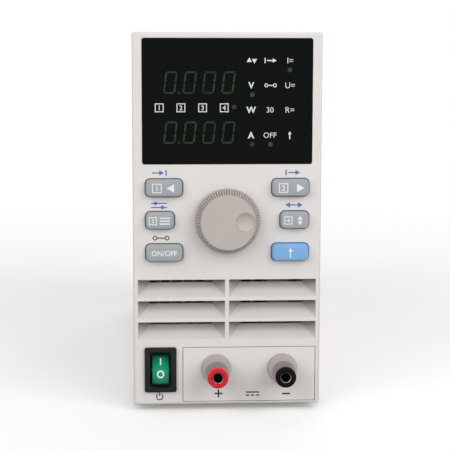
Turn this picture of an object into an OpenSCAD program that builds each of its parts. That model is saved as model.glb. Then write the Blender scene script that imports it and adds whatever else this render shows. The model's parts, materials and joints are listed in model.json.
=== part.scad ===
// Bench dc electronic load: moulded front bezel on a sheet steel case, fan cooled
// Every piece is drawn from the centre of the front face: x to the right,
// y as depth behind the face, z as height above the bezel's lower edge.

/* [Overall] */
// Width of the front bezel
body_w = 88; // [80:1:100]
// Height of the front bezel
body_h = 175; // [160:1:195]
// Depth from the front face to the back of the rear panel
body_d = 258; // [240:1:300]
// How far the feet reach below the bezel
foot_drop = 3; // [2:0.5:8]
// How far the binding posts stand in front of the face
post_reach = 20; // [18:0.5:26]
// How far the fan screws and the inlet stand behind the rear panel
rear_reach = 4; // [3.6:0.1:6]

/* [Bezel] */
// Depth of the bezel from face to case
bezel_d = 22; // [20:1:26]
// Thickness of the bezel's face
face_t = 2.5; // [2:0.1:3]
// Thickness of the bezel's side walls
wall_t = 2.5; // [1.8:0.1:3]
// Rounding of the bezel's front edges
edge_r = 1.2; // [0.4:0.1:1.5]
// Rounding of the bezel's four corners
corner_r = 1.2; // [0.6:0.1:3]
// Radius of the screw bosses
boss_r = 2.4; // [2.2:0.1:2.6]
// Height of the bezel screws above and below the keys
bezel_screw_gap = 4.2; // [4:0.1:4.4]
// Distance of the bezel screws from the bezel's sides
bezel_screw_side = 4; // [3.6:0.1:4.2]

/* [Window] */
// Width of the frame at each side of the display window
window_side = 4.4; // [4:0.1:9]
// Height of the display window
window_h = 58.3; // [54:0.1:59]
// Width of the frame above the display window
window_top = 2.55; // [2:0.05:4]
// Thickness of the window plate
window_t = 1; // [0.6:0.1:1.4]
// Rounding of the window's corners
window_r = 1.2; // [0.5:0.1:3]
// Width of the ledge behind the window
window_ledge = 2; // [1:0.1:2.5]

/* [Louvres] */
// Distance of the louvres from the bezel's sides
louvre_side = 2; // [1.8:0.1:5]
// Height of one louvre opening
louvre_h = 8.6; // [7:0.1:9]
// Height from one louvre to the next
louvre_pitch = 10.1; // [9.6:0.1:10.4]
// Height from the window down to the top louvre
louvre_drop = 54.15; // [53.5:0.05:55]
// Least height from the lowest louvre down to the post plate
louvre_gap = 3; // [2:0.1:8]
// Depth of a louvre's scoop
louvre_depth = 8; // [5:0.1:10]
// How far the ends of a scoop slant inwards
louvre_hip = 5.6; // [2:0.1:10]
// Height of the air slot at the back of a scoop
louvre_slot = 2.6; // [1.2:0.1:4]
// Thickness of a scoop's wall
louvre_wall = 1.5; // [1:0.1:1.6]
// Width of the bar between the two columns
mullion_w = 1.6; // [1.2:0.1:2.4]

/* [Keys] */
// Height of a key cap
key_h = 8; // [6:0.1:9]
// Width of a wide key cap
key_wide = 17.1; // [14:0.1:18]
// Width of a narrow key cap
key_narrow = 13.2; // [10:0.1:15]
// Gap between a cap and its hole
key_gap = 0.45; // [0.2:0.05:0.6]
// Distance of the caps from the bezel's sides
key_side = 6; // [5:0.1:7]
// Height from the window down to the middle row of keys
key_drop = 25.95; // [25.5:0.05:26.5]
// Height from one row of keys to the next
key_pitch = 15.2; // [14:0.1:15.4]
// How far a cap stands out of the face
key_reach = 3.4; // [1.5:0.1:4]
// How far a key is pressed
key_travel = 1.2; // [0.6:0.1:2]
// Rounding of a cap's corners
key_r = 2.2; // [1:0.1:3]
// Rounding of a cap's front edge
key_edge_r = 0.8; // [0.3:0.1:1.2]
// Width of the rim that keeps a key behind the face
key_rim = 0.9; // [0.6:0.05:1]
// Thickness of that rim
key_rim_t = 1; // [0.6:0.1:1.5]

/* [Knob] */
// Radius of the knob's ridged rim
knob_r = 15.4; // [13.5:0.1:16]
// Radius of the knob's front face
knob_face_r = 13; // [10:0.1:13.5]
// Length of the knob
knob_len = 9; // [8.5:0.1:14]
// How far the ridged rim stands off the face
knob_rise = 2.4; // [0.5:0.1:3]
// How far the knob's base stands in from the rim
knob_base_in = 1.8; // [0.5:0.1:2]
// Height from the window down to the knob's axis
knob_drop = 26.15; // [25:0.05:27]
// Number of ridges round the knob
knob_ridges = 72; // [36:1:90]
// Depth of those ridges
knob_ridge_t = 0.6; // [0.2:0.1:0.8]
// Distance of the finger dimple from the axis
dimple_x = 8; // [6:0.1:8.5]
// Radius of the finger dimple's rim
dimple_r = 4.4; // [3:0.1:4.5]
// Radius of the ball that presses the dimple
dimple_ball = 7; // [5:0.1:10]
// Radius of the encoder's shaft
shaft_r = 3; // [2.5:0.1:3]
// Radius of the encoder's threaded bush
bush_r = 3.5; // [3.3:0.1:4]
// Width of the encoder's body
encoder_w = 12.4; // [11:0.1:14]

/* [Power switch] */
// Width of the switch frame
switch_w = 15; // [14:0.1:16]
// Height of the switch frame
switch_h = 21.5; // [20:0.1:22]
// Distance of the switch's middle from the bezel's side
switch_side = 12.6; // [12:0.1:14]
// Height of the switch's middle
switch_mid = 17.1; // [16.5:0.1:17.5]
// How far the frame stands out of the face
switch_rim = 1.5; // [1:0.1:2]
// Width of the frame's rim outside its hole
switch_lip = 1.5; // [1:0.1:1.8]
// Depth of the switch behind the face
switch_d = 18; // [14:0.5:19]
// Width of the rocker
rocker_w = 7.6; // [6:0.1:8]
// Radius that the rocker's ends turn on
rocker_r = 7.2; // [6.5:0.1:7.6]
// Depth of the rocker's axis behind the face
rocker_axis = 0.5; // [0.3:0.1:2]
// Reach of the rocker's hollow middle from its axis
rocker_mid = 2.2; // [1.8:0.1:3]
// Reach of the rocker's ends from its axis
rocker_end = 3.5; // [3:0.1:4]
// Tilt of the rocker to each side
rocker_tilt = 10; // [6:0.5:12]
// Radius of the rocker's pins
rocker_pin_r = 1; // [0.8:0.1:1.2]

/* [Binding posts] */
// Distance between the two posts
post_pitch = 31.3; // [28:0.1:32]
// Height of the posts
post_mid = 17.3; // [16:0.1:17.5]
// Radius of the insulating flange
post_flange_r = 7.15; // [6.5:0.05:7.5]
// Thickness of the insulating flange
post_flange_t = 1.6; // [1:0.1:2]
// Radius of the insulating bush
post_bush_r = 4.5; // [4:0.1:5]
// Radius of the stud
stud_r = 2.45; // [2.4:0.05:2.6]
// Radius of the plug socket in the stud
socket_r = 2; // [2:0.01:2.02]
// Depth of that socket
socket_d = 16; // [12:0.5:17]
// How far the stud stops short of the tip
stud_short = 0.4; // [0.2:0.1:1]
// Thickness of the clamp washer
clamp_t = 0.8; // [0.6:0.1:1.2]
// Radius of the clamp washer
clamp_r = 5.8; // [5:0.1:6.5]
// Length of the cap's knurled grip
grip_l = 8; // [6:0.1:9]
// Radius of the grip at its thick end
grip_r = 5.6; // [5.3:0.1:6]
// Radius of the grip at its thin end
grip_tip_r = 5; // [4.9:0.1:5.2]
// Number of knurls round the grip
grip_knurls = 44; // [16:1:48]
// Depth of those knurls
grip_knurl_t = 0.3; // [0.2:0.05:0.5]
// Length of the coloured tip ring
tip_l = 2.5; // [1.5:0.1:3]
// Radius of the coloured tip ring
tip_r = 4.75; // [4.5:0.05:4.9]
// Inner radius of the coloured tip ring
tip_bore_r = 2.75; // [2.7:0.05:3]
// Distance of the post plate from the bezel's side
plate_side = 2; // [1.8:0.1:4]
// Height of the plate round the posts
plate_h = 26.4; // [23:0.1:26.6]
// Distance of the post plate from the switch
plate_switch_gap = 2.9; // [1:0.1:5]
// Height of the plate's middle
plate_mid = 14.55; // [14.5:0.05:15.2]
// Thickness of the plate
plate_t = 1.5; // [1:0.1:1.6]
// Gap round the plate
plate_gap = 0.3; // [0.2:0.05:0.6]

/* [Case] */
// Thickness of the sheet steel
sheet_t = 1; // [0.8:0.1:1.2]
// Thickness of the rear panel
panel_t = 1.2; // [1:0.1:2]
// How far the case is set in from the bezel
case_inset = 1; // [0.5:0.1:1.5]
// Outer bend radius of the cover
bend_r = 2; // [1.3:0.1:4]
// Height of the tray's side flanges
flange_h = 14; // [12:0.5:18]
// Height of the lips that carry the rear panel
lip_h = 8; // [7:0.5:8]
// Radius of a rubber foot
foot_r = 7; // [5:0.5:9]
// Distance of the feet from the bezel's sides
foot_side = 12; // [11:1:16]
// Distance of the feet from the case's ends
foot_end = 16; // [12:1:30]

/* [Fan] */
// Distance of the fan's frame from the case's sides
fan_side = 2; // [1:0.5:6]
// Thickness of the fan
fan_t = 25; // [20:1:26]
// Height of the fan's frame above the floor
fan_rise = 9.5; // [8.5:0.5:11]
// Distance of the fan's screws from its edges
fan_screw_edge = 4.25; // [4:0.05:5]
// Width of the fan's frame outside its duct
fan_rim = 2; // [1.5:0.1:4]
// Radius of the rotor's hub
fan_hub_r = 16; // [13:0.5:18]
// Number of fan blades
fan_blades = 7; // [5:1:9]
// Radius of the guard's wire
wire_r = 1.1; // [0.9:0.05:1.2]
// Number of rings in the guard
guard_rings = 4; // [2:1:5]

/* [Rear sockets] */
// Distance of the mains inlet's middle from the case's side
inlet_side = 27; // [26:0.5:28]
// Height of the case's top over the mains inlet's middle
inlet_drop = 44; // [42:1:50]
// Width of the inlet's body
inlet_w = 27; // [26.5:0.1:28]
// Height of the inlet's body
inlet_h = 32; // [31.5:0.1:34]
// Depth of the inlet behind the panel
inlet_d = 28; // [26:0.5:30]
// Thickness of the inlet's flange
inlet_rim = 2.5; // [2:0.1:3]
// Distance between the inlet's screws
inlet_pitch = 40; // [38:0.5:41]
// How far the fuse drawer pulls out
drawer_travel = 18; // [14:0.5:20]
// Distance of the voltage selector's middle from the case's side
selector_side = 15; // [12:0.5:16]
// How far the selector's slider moves
selector_travel = 5; // [3:0.5:6]

/* [Power stage] */
// Gap from the heatsink to the fan
sink_gap = 6.8; // [4:0.1:40]
// Distance of the heatsink from the case's sides
sink_side = 4; // [3:0.5:10]
// Room for the power board between the heatsink and the shelf
stack_room = 31; // [26:0.5:40]
// Number of fins
fin_count = 14; // [8:1:18]
// Thickness of a fin
fin_t = 1.6; // [1:0.1:2]
// Thickness of the heatsink's base
sink_base = 6; // [4:0.5:8]
// Room for the transformer between the shelf and the cover
shelf_drop = 58; // [52:1:62]
// Gap from the shelf to the mains inlet
shelf_gap = 5; // [3:0.5:12]
// Thickness of every circuit board
board_t = 1.6; // [1:0.1:2]
// Distance of the boards from the case's sides
board_side = 5; // [4:0.5:10]
// Depth of the display board behind the face
board_d = 9; // [8.5:0.1:10]
// Thickness of the keypad's rubber mat
mat_t = 1.4; // [1:0.1:1.8]

// Number of power packages in a row
package_count = 4; // [2:1:4]
// Length of a power package's body
package_l = 20; // [16:0.5:22]
// Width of a power package's body
package_w = 16; // [12:0.5:17]
// Distance from one power package to the next
package_pitch = 40; // [38:0.5:42]
// Width of the transformer's core
core_w = 57; // [48:0.5:60]
// Height of the transformer's core
core_h = 48; // [40:0.5:50]
// Length of the transformer's core
core_l = 30; // [24:0.5:34]
// Height of the transformer's winding
coil_h = 29; // [24:0.5:32]

/* [Hidden] */
$fn = 48;

// Overshoot of every cut, and the fits: sliding, running and close
over = 1;
slide_fit = 0.2;
run_fit = 0.06;
close_fit = 0.02;

// The whole is centred front to back, and stands on its feet
y_face = post_reach - (post_reach + body_d + rear_reach) / 2;
case_half = body_w / 2 - case_inset;
inner_half = case_half - sheet_t;
case_top = body_h - case_inset;
inner_top = case_top - sheet_t;
floor_top = case_inset + sheet_t;
panel_in = body_d - panel_t;
bend_in = max(bend_r - sheet_t, 0.1);

// Layout of the face, from the window downwards and from the switch to the right
window_w = body_w - 2 * window_side;
window_low = body_h - window_top - window_h;
window_mid = window_low + window_h / 2;
key_edge = body_w / 2 - key_side;
key_mid = window_low - key_drop;
knob_mid = window_low - knob_drop;
keypad_low = key_mid - key_pitch - key_h / 2;
keypad_high = key_mid + key_pitch + key_h / 2;
switch_x = switch_side - body_w / 2;
plate_left = switch_x + switch_w / 2 + plate_switch_gap;
plate_right = body_w / 2 - plate_side;
plate_w = plate_right - plate_left;
plate_x = (plate_left + plate_right) / 2;
plate_top = plate_mid + plate_h / 2;
post_plus_x = plate_x - post_pitch / 2;
louvre_w = body_w / 2 - louvre_side - mullion_w / 2;
louvre_top = window_low - louvre_drop;
louvre_rows = max(0, 1 + floor((louvre_top - louvre_h - louvre_gap - plate_top) / louvre_pitch));

// Depths behind the face that pieces share
mat_front = board_d - mat_t;
board_back = board_d + board_t;
rear_insulator_t = 2;
nut_t = 4;
nut_r = 5.2;
bar_t = 2;
bar_w = 10;
bar_lap = 22;
bar_reach = 6;
nut_front = face_t + rear_insulator_t;
bar_front = nut_front + nut_t;
stud_spare = 1;
stud_end = bar_front + bar_t + nut_t + stud_spare;

// Sheet left round the tray's front openings, and the feet's taper and recess
tray_rim = 4;
foot_taper = 0.8;
foot_recess = 0.6;
foot_head_t = 0.9;

// Keypad and knob
mat_gap = 1;
key_step = 2;
knob_step = 0.1;
knob_bevel = 0.8;
knob_wall = 2;
knob_roof = 1.6;
knob_hollow = 5;
bush_l = 3.5;

// Power switch
rocker_pin_l = 1.3;
rocker_back = 4;
tab_w = 6.2;
tab_l = 8;
tab_t = 0.8;
tab_rise = 4.5;

// Display behind the window: two rows of digits and five lamps, from the window's middle
digits_w = 41;
digits_h = 16;
digits_x = -12.5;
digits_d = 6;
digits_r = 1;
digits_edge_r = 0.4;
digits_step = 1;
digits_air = 0.8;
upper_digits = 8.8;
lower_digits = -14.2;
lamp_r = 1.25;
lamp_air = 2;
lamp_foot = 1;
LAMPS = [[3.1, -2.6], [11.5, 3.1], [28.8, 14.5], [11.5, -19.8], [20, -19.8]];

// Fan and rear sockets
fan_w = 2 * (inner_half - fan_side);
fan_mid = floor_top + fan_rise + fan_w / 2;
fan_pitch = fan_w - 2 * fan_screw_edge;
fan_duct_r = fan_w / 2 - fan_rim;
fan_front = panel_in - fan_t;
fan_screw_r = 2;
fan_screw_l = 20;
fan_shaft_r = 1.5;
fan_plate_t = 3;
fan_corner_r = 3;
bearing_t = 3;
strut_w = 3;
blade_chord = 18;
blade_curve_r = 14;
blade_t = 1.5;
blade_pitch = 40;
blade_air = 0.5;
cup_wall = 2;
inlet_x = inlet_side - inner_half;
inlet_mid = inner_top - inlet_drop;
selector_x = inner_half - selector_side;
socket_w = 24.6;
socket_h = 16.8;
socket_mid = 6;
socket_l = 16;
socket_slant = 4;
inlet_ear = 10;
inlet_brim = 4;
inlet_screw_hold = 3;
pin_x = 7;
pin_w = 2;
pin_h = 4;
pin_l = 13;
drawer_w = 22;
drawer_h = 9;
drawer_mid = -9.8;
drawer_l = 23;
drawer_lip = 0.8;
fuse_r = 2.5;
fuse_l = 20;
fuse_place = -15;
selector_w = 12;
selector_h = 20;
selector_pitch = 27;
selector_rim = 1.5;
selector_brim = 2;
selector_d = 14;
slider_w = 7;
slider_h = 6;
slider_d = 5;
slider_proud = 0.5;
slider_slot = 1;

// Power stage, from the fan forwards and from the cover downwards
stage_gap = 13;
board_inset = 5;
sink_front = bezel_d + stage_gap;
sink_l = fan_front - sink_gap - sink_front;
sink_w = 2 * (inner_half - sink_side);
board_w = 2 * (inner_half - board_side);
board_front = sink_front + board_inset;
shelf_mid = inner_top - shelf_drop;
shelf_l = body_d - inlet_d - shelf_gap - board_front;
sink_top = shelf_mid - stack_room;
standoff_h = 10;
standoff_r = 2.5;
standoff_edge = 4;
power_board_top = sink_top + standoff_h + board_t;
power_board_l = sink_l - 4 * board_inset;
control_board_l = 95;
control_standoff_h = 5;
core_gap = 28;
core_front = board_front + control_board_l + core_gap;
coil_out = 9;
package_shift = 1;
package_x = sink_w / 4 + package_shift;
package_first = 30;
package_t = 5;
package_tab = 5;
leg_w = 1.2;
leg_t = 0.9;
leg_l = 7;
can_r = 5;
can_pitch = 17;
can_place = 65;
can_inset = 20;
low_can_h = 9;
tall_can_h = 14;
relay_w = 40;
relay_l = 20;
relay_place = 45;
chip_w = 12;
chip_t = 2.2;
chip_pitch = 20;
chip_place = 26;
header_w = 40;
header_l = 6;
header_inset = 3;

// Screws: shank and head radius, head thickness, slot, and the thread's hold
screw_r = 1.5;
head_r = 2.8;
head_t = 0.8;
head_slot = 0.6;
screw_hold = 1;
thin_screw_r = 1;
thin_hole_r = 1.2;
board_screw_l = 4;
bezel_screw_l = 8;
screw_room = 1;
bezel_head = 1.6;

KEYS = [
    ["key_left", -1, 1, key_wide], ["key_right", 1, 1, key_wide],
    ["key_view", -1, 0, key_narrow], ["key_mode", 1, 0, key_narrow],
    ["key_on_off", -1, -1, key_wide], ["key_shift", 1, -1, key_wide]
];
POSTS = [
    ["positive", post_plus_x, "crimson"],
    ["negative", post_plus_x + post_pitch, "dimgray"]
];

// Places that several pieces share
bezel_screw_x = body_w / 2 - bezel_screw_side;
bezel_screw_low = keypad_low - bezel_screw_gap;
bezel_screw_high = keypad_high + bezel_screw_gap;
board_screw_side = 28;
board_screw_rise = 0.5;
panel_screw_side = 14;
cover_screw_end = 25;
BEZEL_SCREWS = [for (s = [-1, 1], h = [bezel_screw_low, bezel_screw_high]) [s * bezel_screw_x, h]];
BOARD_SCREWS = [
    for (s = [-1, 1], h = [bezel_screw_low, bezel_screw_high])
        [s * (body_w / 2 - board_screw_side), h + board_screw_rise]
];
PANEL_SCREWS = [
    for (s = [-1, 1], h = [floor_top + lip_h / 2, inner_top - lip_h / 2])
        [s * (body_w / 2 - panel_screw_side), h]
];
COVER_SCREWS = [for (s = [-1, 1], d = [bezel_d + cover_screw_end, body_d - cover_screw_end]) [s, d]];
FEET = [
    for (s = [-1, 1], d = [bezel_d + foot_end, body_d - foot_end]) [s * (body_w / 2 - foot_side), d]
];
FAN_CORNERS = [for (a = [-1, 1], b = [-1, 1]) [a * fan_pitch / 2, fan_mid + b * fan_pitch / 2]];

// Shared shapes
module standing() translate([0, y_face, foot_drop]) children();

module block(x, y, z)
    translate([x[0], y[0], z[0]]) cube([x[1] - x[0], y[1] - y[0], z[1] - z[0]]);

module rod(x, z, y, r)
    translate([x, y[0], z]) rotate([-90, 0, 0]) cylinder(h = y[1] - y[0], r = r);

module cone(x, z, y, r0, r1)
    translate([x, y[0], z]) rotate([-90, 0, 0]) cylinder(h = y[1] - y[0], r1 = r0, r2 = r1);

module tube(x, z, y, r, bore)
    difference() {
        rod(x, z, y, r);
        rod(x, z, [y[0] - over, y[1] + over], bore);
    }

// Outline seen from the front, carried from one depth to another
module front_cut(y)
    translate([0, y[1], 0]) rotate([90, 0, 0]) linear_extrude(y[1] - y[0]) children();

// Outline in depth and height, carried from left to right
module side_cut(x)
    translate([x[0], 0, 0]) rotate([90, 0, 90]) linear_extrude(x[1] - x[0]) children();

// Outline in width and depth, carried upwards
module top_cut(z)
    translate([0, 0, z[0]]) linear_extrude(z[1] - z[0]) children();

module rounded(w, h, r) {
    square([w - 2 * r, h], center = true);
    square([w, h - 2 * r], center = true);
    for (a = [-1, 1], b = [-1, 1]) translate([a * (w / 2 - r), b * (h / 2 - r)]) circle(r);
}

// Outline of a block with its two front corners rounded
module nosed(l, w, e) {
    translate([e, -w / 2]) square([l - e, w]);
    translate([0, e - w / 2]) square([l, w - 2 * e]);
    for (s = [-1, 1]) translate([e, s * (w / 2 - e)]) circle(e);
}

// Block with rounded corners and rounded front edges
module soft_block(w, h, y, r, e)
    intersection() {
        front_cut(y) rounded(w, h, r);
        side_cut([-w, w]) translate([y[0], 0]) nosed(y[1] - y[0], h, e);
        top_cut([-h, h]) translate([0, y[0]]) rotate(90) nosed(y[1] - y[0], w, e);
    }

// Wheel outline with evenly spaced ridges
module ridged(r, count, depth)
    polygon([for (i = [0 : 4 * count - 1])
        (r - (i % 4 < 2 ? 0 : depth)) * [cos(90 * i / count), sin(90 * i / count)]]);

module panel_screw(x, z, y, l, r = screw_r, h_r = head_r, h_t = head_t) {
    rod(x, z, [y - l, y], r);
    difference() {
        rod(x, z, [y, y + h_t], h_r);
        block([x - h_r, x + h_r], [y + h_t / 2, y + h_t + over],
              [z - head_slot / 2, z + head_slot / 2]);
    }
}

// Front bezel
function louvre_x(side) = side * (mullion_w + louvre_w) / 2;
function key_x(side, w) = side * (key_edge - w / 2);

module louvre_air(w, wall)
    intersection() {
        side_cut([-w / 2 - wall, w / 2 + wall]) polygon([
            [wall > 0 ? edge_r : -over, -louvre_h - wall], [wall > 0 ? edge_r : 0, -louvre_h - wall],
            [louvre_depth, -louvre_slot - wall], [louvre_depth + (wall > 0 ? wall : over + louvre_wall),
            -louvre_slot - wall], [louvre_depth + (wall > 0 ? wall : over + louvre_wall), wall],
            [wall > 0 ? edge_r : -over, wall]
        ]);
        top_cut([-louvre_h - wall, wall]) polygon([
            for (s = [-1, 1], p = s < 0 ? [0, 1, 2, 3] : [3, 2, 1, 0])
                [s * (w / 2 + wall - (p < 2 ? 0 : louvre_hip)),
                 [-over, 0, louvre_depth, louvre_depth + over + 2 * louvre_wall][p]]
        ]);
    }

module each_louvre()
    for (side = [-1, 1], row = [0 : 1 : louvre_rows - 1])
        translate([louvre_x(side), 0, louvre_top - row * louvre_pitch]) children();

module front_bezel() standing() color("gainsboro") difference() {
    union() {
        difference() {
            translate([0, 0, body_h / 2]) soft_block(body_w, body_h, [0, bezel_d], corner_r, edge_r);
            block([wall_t - body_w / 2, body_w / 2 - wall_t], [face_t, bezel_d + over],
                  [wall_t, body_h - wall_t]);
        }
        each_louvre() louvre_air(louvre_w, louvre_wall);
        for (p = BEZEL_SCREWS) rod(p[0], p[1], [face_t / 2, bezel_d], boss_r);
        for (p = BOARD_SCREWS) rod(p[0], p[1], [face_t / 2, board_d], boss_r);
    }
    each_louvre() louvre_air(louvre_w, 0);
    translate([0, 0, window_mid]) {
        front_cut([-over, window_t]) rounded(window_w, window_h, window_r);
        front_cut([-over, face_t + over])
            rounded(window_w - 2 * window_ledge, window_h - 2 * window_ledge, window_r);
    }
    for (k = KEYS) translate([key_x(k[1], k[3]), 0, key_mid + k[2] * key_pitch])
        front_cut([-over, face_t + over])
            rounded(k[3] + 2 * key_gap, key_h + 2 * key_gap, key_r + key_gap);
    rod(0, knob_mid, [-over, face_t + over], bush_r + slide_fit);
    translate([switch_x, 0, switch_mid]) front_cut([-over, face_t + over])
        square([switch_w - 2 * switch_lip, switch_h - 2 * switch_lip], center = true);
    translate([plate_x, 0, plate_mid]) front_cut([-over, plate_t])
        square([plate_w, plate_h], center = true);
    for (p = POSTS) rod(p[1], post_mid, [-over, face_t + over], post_bush_r + close_fit);
    for (p = BEZEL_SCREWS)
        rod(p[0], p[1], [bezel_d - bezel_screw_l - screw_room, bezel_d + over], thin_screw_r + close_fit);
    for (p = BOARD_SCREWS)
        rod(p[0], p[1], [board_d - board_screw_l - screw_room, board_d + over], thin_screw_r + close_fit);
}

module display_window() standing() color("black")
    translate([0, 0, window_mid]) front_cut([0, window_t])
        rounded(window_w - 2 * slide_fit, window_h - 2 * slide_fit, window_r - slide_fit);

// Keypad and display
module keypad_mat() standing() color("slategray") difference() {
    hole = encoder_w / 2 + mat_gap;
    block([mat_gap - key_edge, key_edge - mat_gap], [mat_front, board_d], [keypad_low, keypad_high]);
    block([-hole, hole], [mat_front - over, board_d + over], [knob_mid - hole, knob_mid + hole]);
}

module key(side, row, w) standing() color(row < 0 && side > 0 ? "lightsteelblue" : "slategray")
    translate([key_x(side, w), 0, key_mid + row * key_pitch]) {
        soft_block(w, key_h, [-key_reach, face_t + key_rim_t], key_r, key_edge_r);
        front_cut([face_t + close_fit, face_t + key_rim_t])
            rounded(w + 2 * key_rim, key_h + 2 * key_rim, key_r);
        block([key_step - w / 2, w / 2 - key_step], [face_t + key_rim_t, mat_front - key_travel - close_fit],
              [key_step - key_h / 2, key_h / 2 - key_step]);
    }

module encoder_knob() standing() color("silver") difference() {
    tip = -knob_len - slide_fit;
    union() {
        rod(0, knob_mid, [-slide_fit - knob_rise, -slide_fit], knob_r - knob_base_in);
        translate([0, -slide_fit - knob_rise, knob_mid]) rotate([90, 0, 0])
            linear_extrude(knob_len - knob_rise - knob_bevel, scale = knob_face_r / knob_r)
                ridged(knob_r, knob_ridges, knob_ridge_t);
        cone(0, knob_mid, [tip, tip + knob_bevel], knob_face_r - knob_bevel, knob_face_r - knob_step);
    }
    translate([dimple_x, tip - sqrt(dimple_ball * dimple_ball - dimple_r * dimple_r), knob_mid])
        sphere(dimple_ball);
    rod(0, knob_mid, [-bush_l - 3 * slide_fit, over], bush_r + knob_wall / 2);
    rod(0, knob_mid, [tip + knob_roof, 0], shaft_r + close_fit);
    tube(0, knob_mid, [-knob_hollow, over], knob_face_r - knob_wall, bush_r + 1.5 * knob_wall);
}

module encoder_shaft() standing() color("lightgray")
    rod(0, knob_mid, [knob_roof - knob_len - slide_fit, mat_front], shaft_r);

module encoder_body() standing() color("darkslategray") difference() {
    union() {
        block([-encoder_w / 2, encoder_w / 2], [face_t, board_d],
              [knob_mid - encoder_w / 2, knob_mid + encoder_w / 2]);
        rod(0, knob_mid, [-bush_l, face_t], bush_r);
    }
    rod(0, knob_mid, [-bush_l - over, mat_front + slide_fit], shaft_r + run_fit);
}

module display_board() standing() color("darkgreen") difference() {
    block([slide_fit + boss_r - bezel_screw_x, bezel_screw_x - boss_r - slide_fit], [board_d, board_back],
          [bezel_screw_low - boss_r, body_h - wall_t - 1]);
    for (p = BOARD_SCREWS) rod(p[0], p[1], [board_d - over, board_back + over], thin_hole_r);
}

// Glass block of one row of digits, seen through the window
module digit_display(rise) standing() color("darkslategray")
    translate([digits_x, 0, window_mid + rise]) {
        soft_block(digits_w, digits_h, [window_t + digits_air, digits_d], digits_r, digits_edge_r);
        block([digits_step - digits_w / 2, digits_w / 2 - digits_step], [digits_d, board_d],
              [digits_step - digits_h / 2, digits_h / 2 - digits_step]);
    }

module indicator_lamps() standing() color("palegreen")
    for (p = LAMPS) {
        rod(p[0], window_mid + p[1], [window_t + lamp_air, board_d - lamp_foot], lamp_r);
        rod(p[0], window_mid + p[1], [board_d - lamp_foot, board_d], lamp_r + lamp_foot / 4);
    }

module display_board_screws() standing() color("silver")
    for (p = BOARD_SCREWS)
        panel_screw(p[0], p[1], board_back, board_t + board_screw_l, thin_screw_r, 2 * thin_screw_r, head_t);

module bezel_screws() standing() color("silver")
    for (p = BEZEL_SCREWS)
        panel_screw(p[0], p[1], bezel_d + sheet_t, sheet_t + bezel_screw_l, thin_screw_r,
                    bezel_head, bezel_head);

// Power switch
module rocker_switch_housing() standing() color("black") difference() {
    well_h = 2 * (rocker_r + slide_fit);
    translate([switch_x, 0, switch_mid]) union() {
        soft_block(switch_w, switch_h, [-switch_rim, 0], 1, 0.5);
        block([switch_lip + slide_fit - switch_w / 2, switch_w / 2 - switch_lip - slide_fit],
              [0, switch_d],
              [switch_lip + slide_fit - switch_h / 2, switch_h / 2 - switch_lip - slide_fit]);
    }
    block([switch_x - rocker_w / 2 - slide_fit, switch_x + rocker_w / 2 + slide_fit],
          [-switch_rim - over, rocker_axis + rocker_r + slide_fit],
          [switch_mid - well_h / 2, switch_mid + well_h / 2]);
    translate([switch_x, rocker_axis, switch_mid]) rotate([0, 90, 0])
        cylinder(h = rocker_w + 2 * (rocker_pin_l + slide_fit), r = rocker_pin_r + run_fit, center = true);
}

module power_rocker() standing() color("mediumseagreen")
    translate([switch_x, rocker_axis, switch_mid]) rotate([-rocker_tilt, 0, 0]) {
        slope = (rocker_end - rocker_mid) / sqrt(rocker_r * rocker_r - rocker_end * rocker_end);
        side_cut([-rocker_w / 2, rocker_w / 2]) intersection() {
            circle(rocker_r);
            polygon([[-rocker_mid, 0], [-rocker_mid - slope * rocker_r, rocker_r], [rocker_back, rocker_r],
                     [rocker_back, -rocker_r], [-rocker_mid - slope * rocker_r, -rocker_r]]);
        }
        rotate([0, 90, 0]) cylinder(h = rocker_w + 2 * rocker_pin_l, r = rocker_pin_r, center = true);
    }

module switch_terminals() standing() color("goldenrod")
    for (s = [-1, 1]) translate([switch_x, 0, switch_mid + s * tab_rise])
        block([-tab_w / 2, tab_w / 2], [switch_d, switch_d + tab_l], [-tab_t / 2, tab_t / 2]);

// Binding posts
module terminal_plate() standing() color("gainsboro") difference() {
    translate([plate_x, 0, plate_mid]) front_cut([0, plate_t])
        square([plate_w - 2 * plate_gap, plate_h - 2 * plate_gap], center = true);
    for (p = POSTS) rod(p[1], post_mid, [-over, plate_t + over], post_bush_r + close_fit);
}

module post_insulators() standing() color("silver")
    for (p = POSTS) difference() {
        union() {
            rod(p[1], post_mid, [-post_flange_t, 0], post_flange_r);
            rod(p[1], post_mid, [-post_flange_t, face_t], post_bush_r);
            rod(p[1], post_mid, [face_t, nut_front], post_flange_r);
        }
        rod(p[1], post_mid, [-post_flange_t - over, nut_front + over], stud_r + close_fit);
    }

module post_stud(x) standing() color("gainsboro") difference() {
    rod(x, post_mid, [stud_short - post_reach, stud_end], stud_r);
    rod(x, post_mid, [-post_reach - over, stud_short - post_reach + socket_d], socket_r);
}

module clamp_washer(x) standing() color("lightgray")
    tube(x, post_mid, [-post_flange_t - clamp_t, -post_flange_t], clamp_r, stud_r + run_fit);

module post_cap(x) standing() color("silver") difference() {
    back = -post_flange_t - clamp_t;
    shoulder = tip_l + grip_l - post_reach;
    shoulder_step = 0.15;
    union() {
        cone(x, post_mid, [shoulder, back], grip_r + shoulder_step, post_flange_r - shoulder_step);
        translate([x, shoulder, post_mid]) rotate([90, 0, 0])
            linear_extrude(grip_l, scale = grip_tip_r / grip_r) ridged(grip_r, grip_knurls, grip_knurl_t);
    }
    rod(x, post_mid, [-post_reach, over], stud_r + run_fit);
}

module tip_ring(x, tint) standing() color(tint)
    tube(x, post_mid, [-post_reach, tip_l - post_reach], tip_r, tip_bore_r);

module post_nuts() standing() color("silver")
    for (p = POSTS, d = [nut_front, bar_front + bar_t]) difference() {
        translate([p[1], d, post_mid]) rotate([-90, 0, 0]) cylinder(h = nut_t, r = nut_r, $fn = 6);
        rod(p[1], post_mid, [d - over, d + nut_t + over], stud_r + close_fit);
    }

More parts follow.
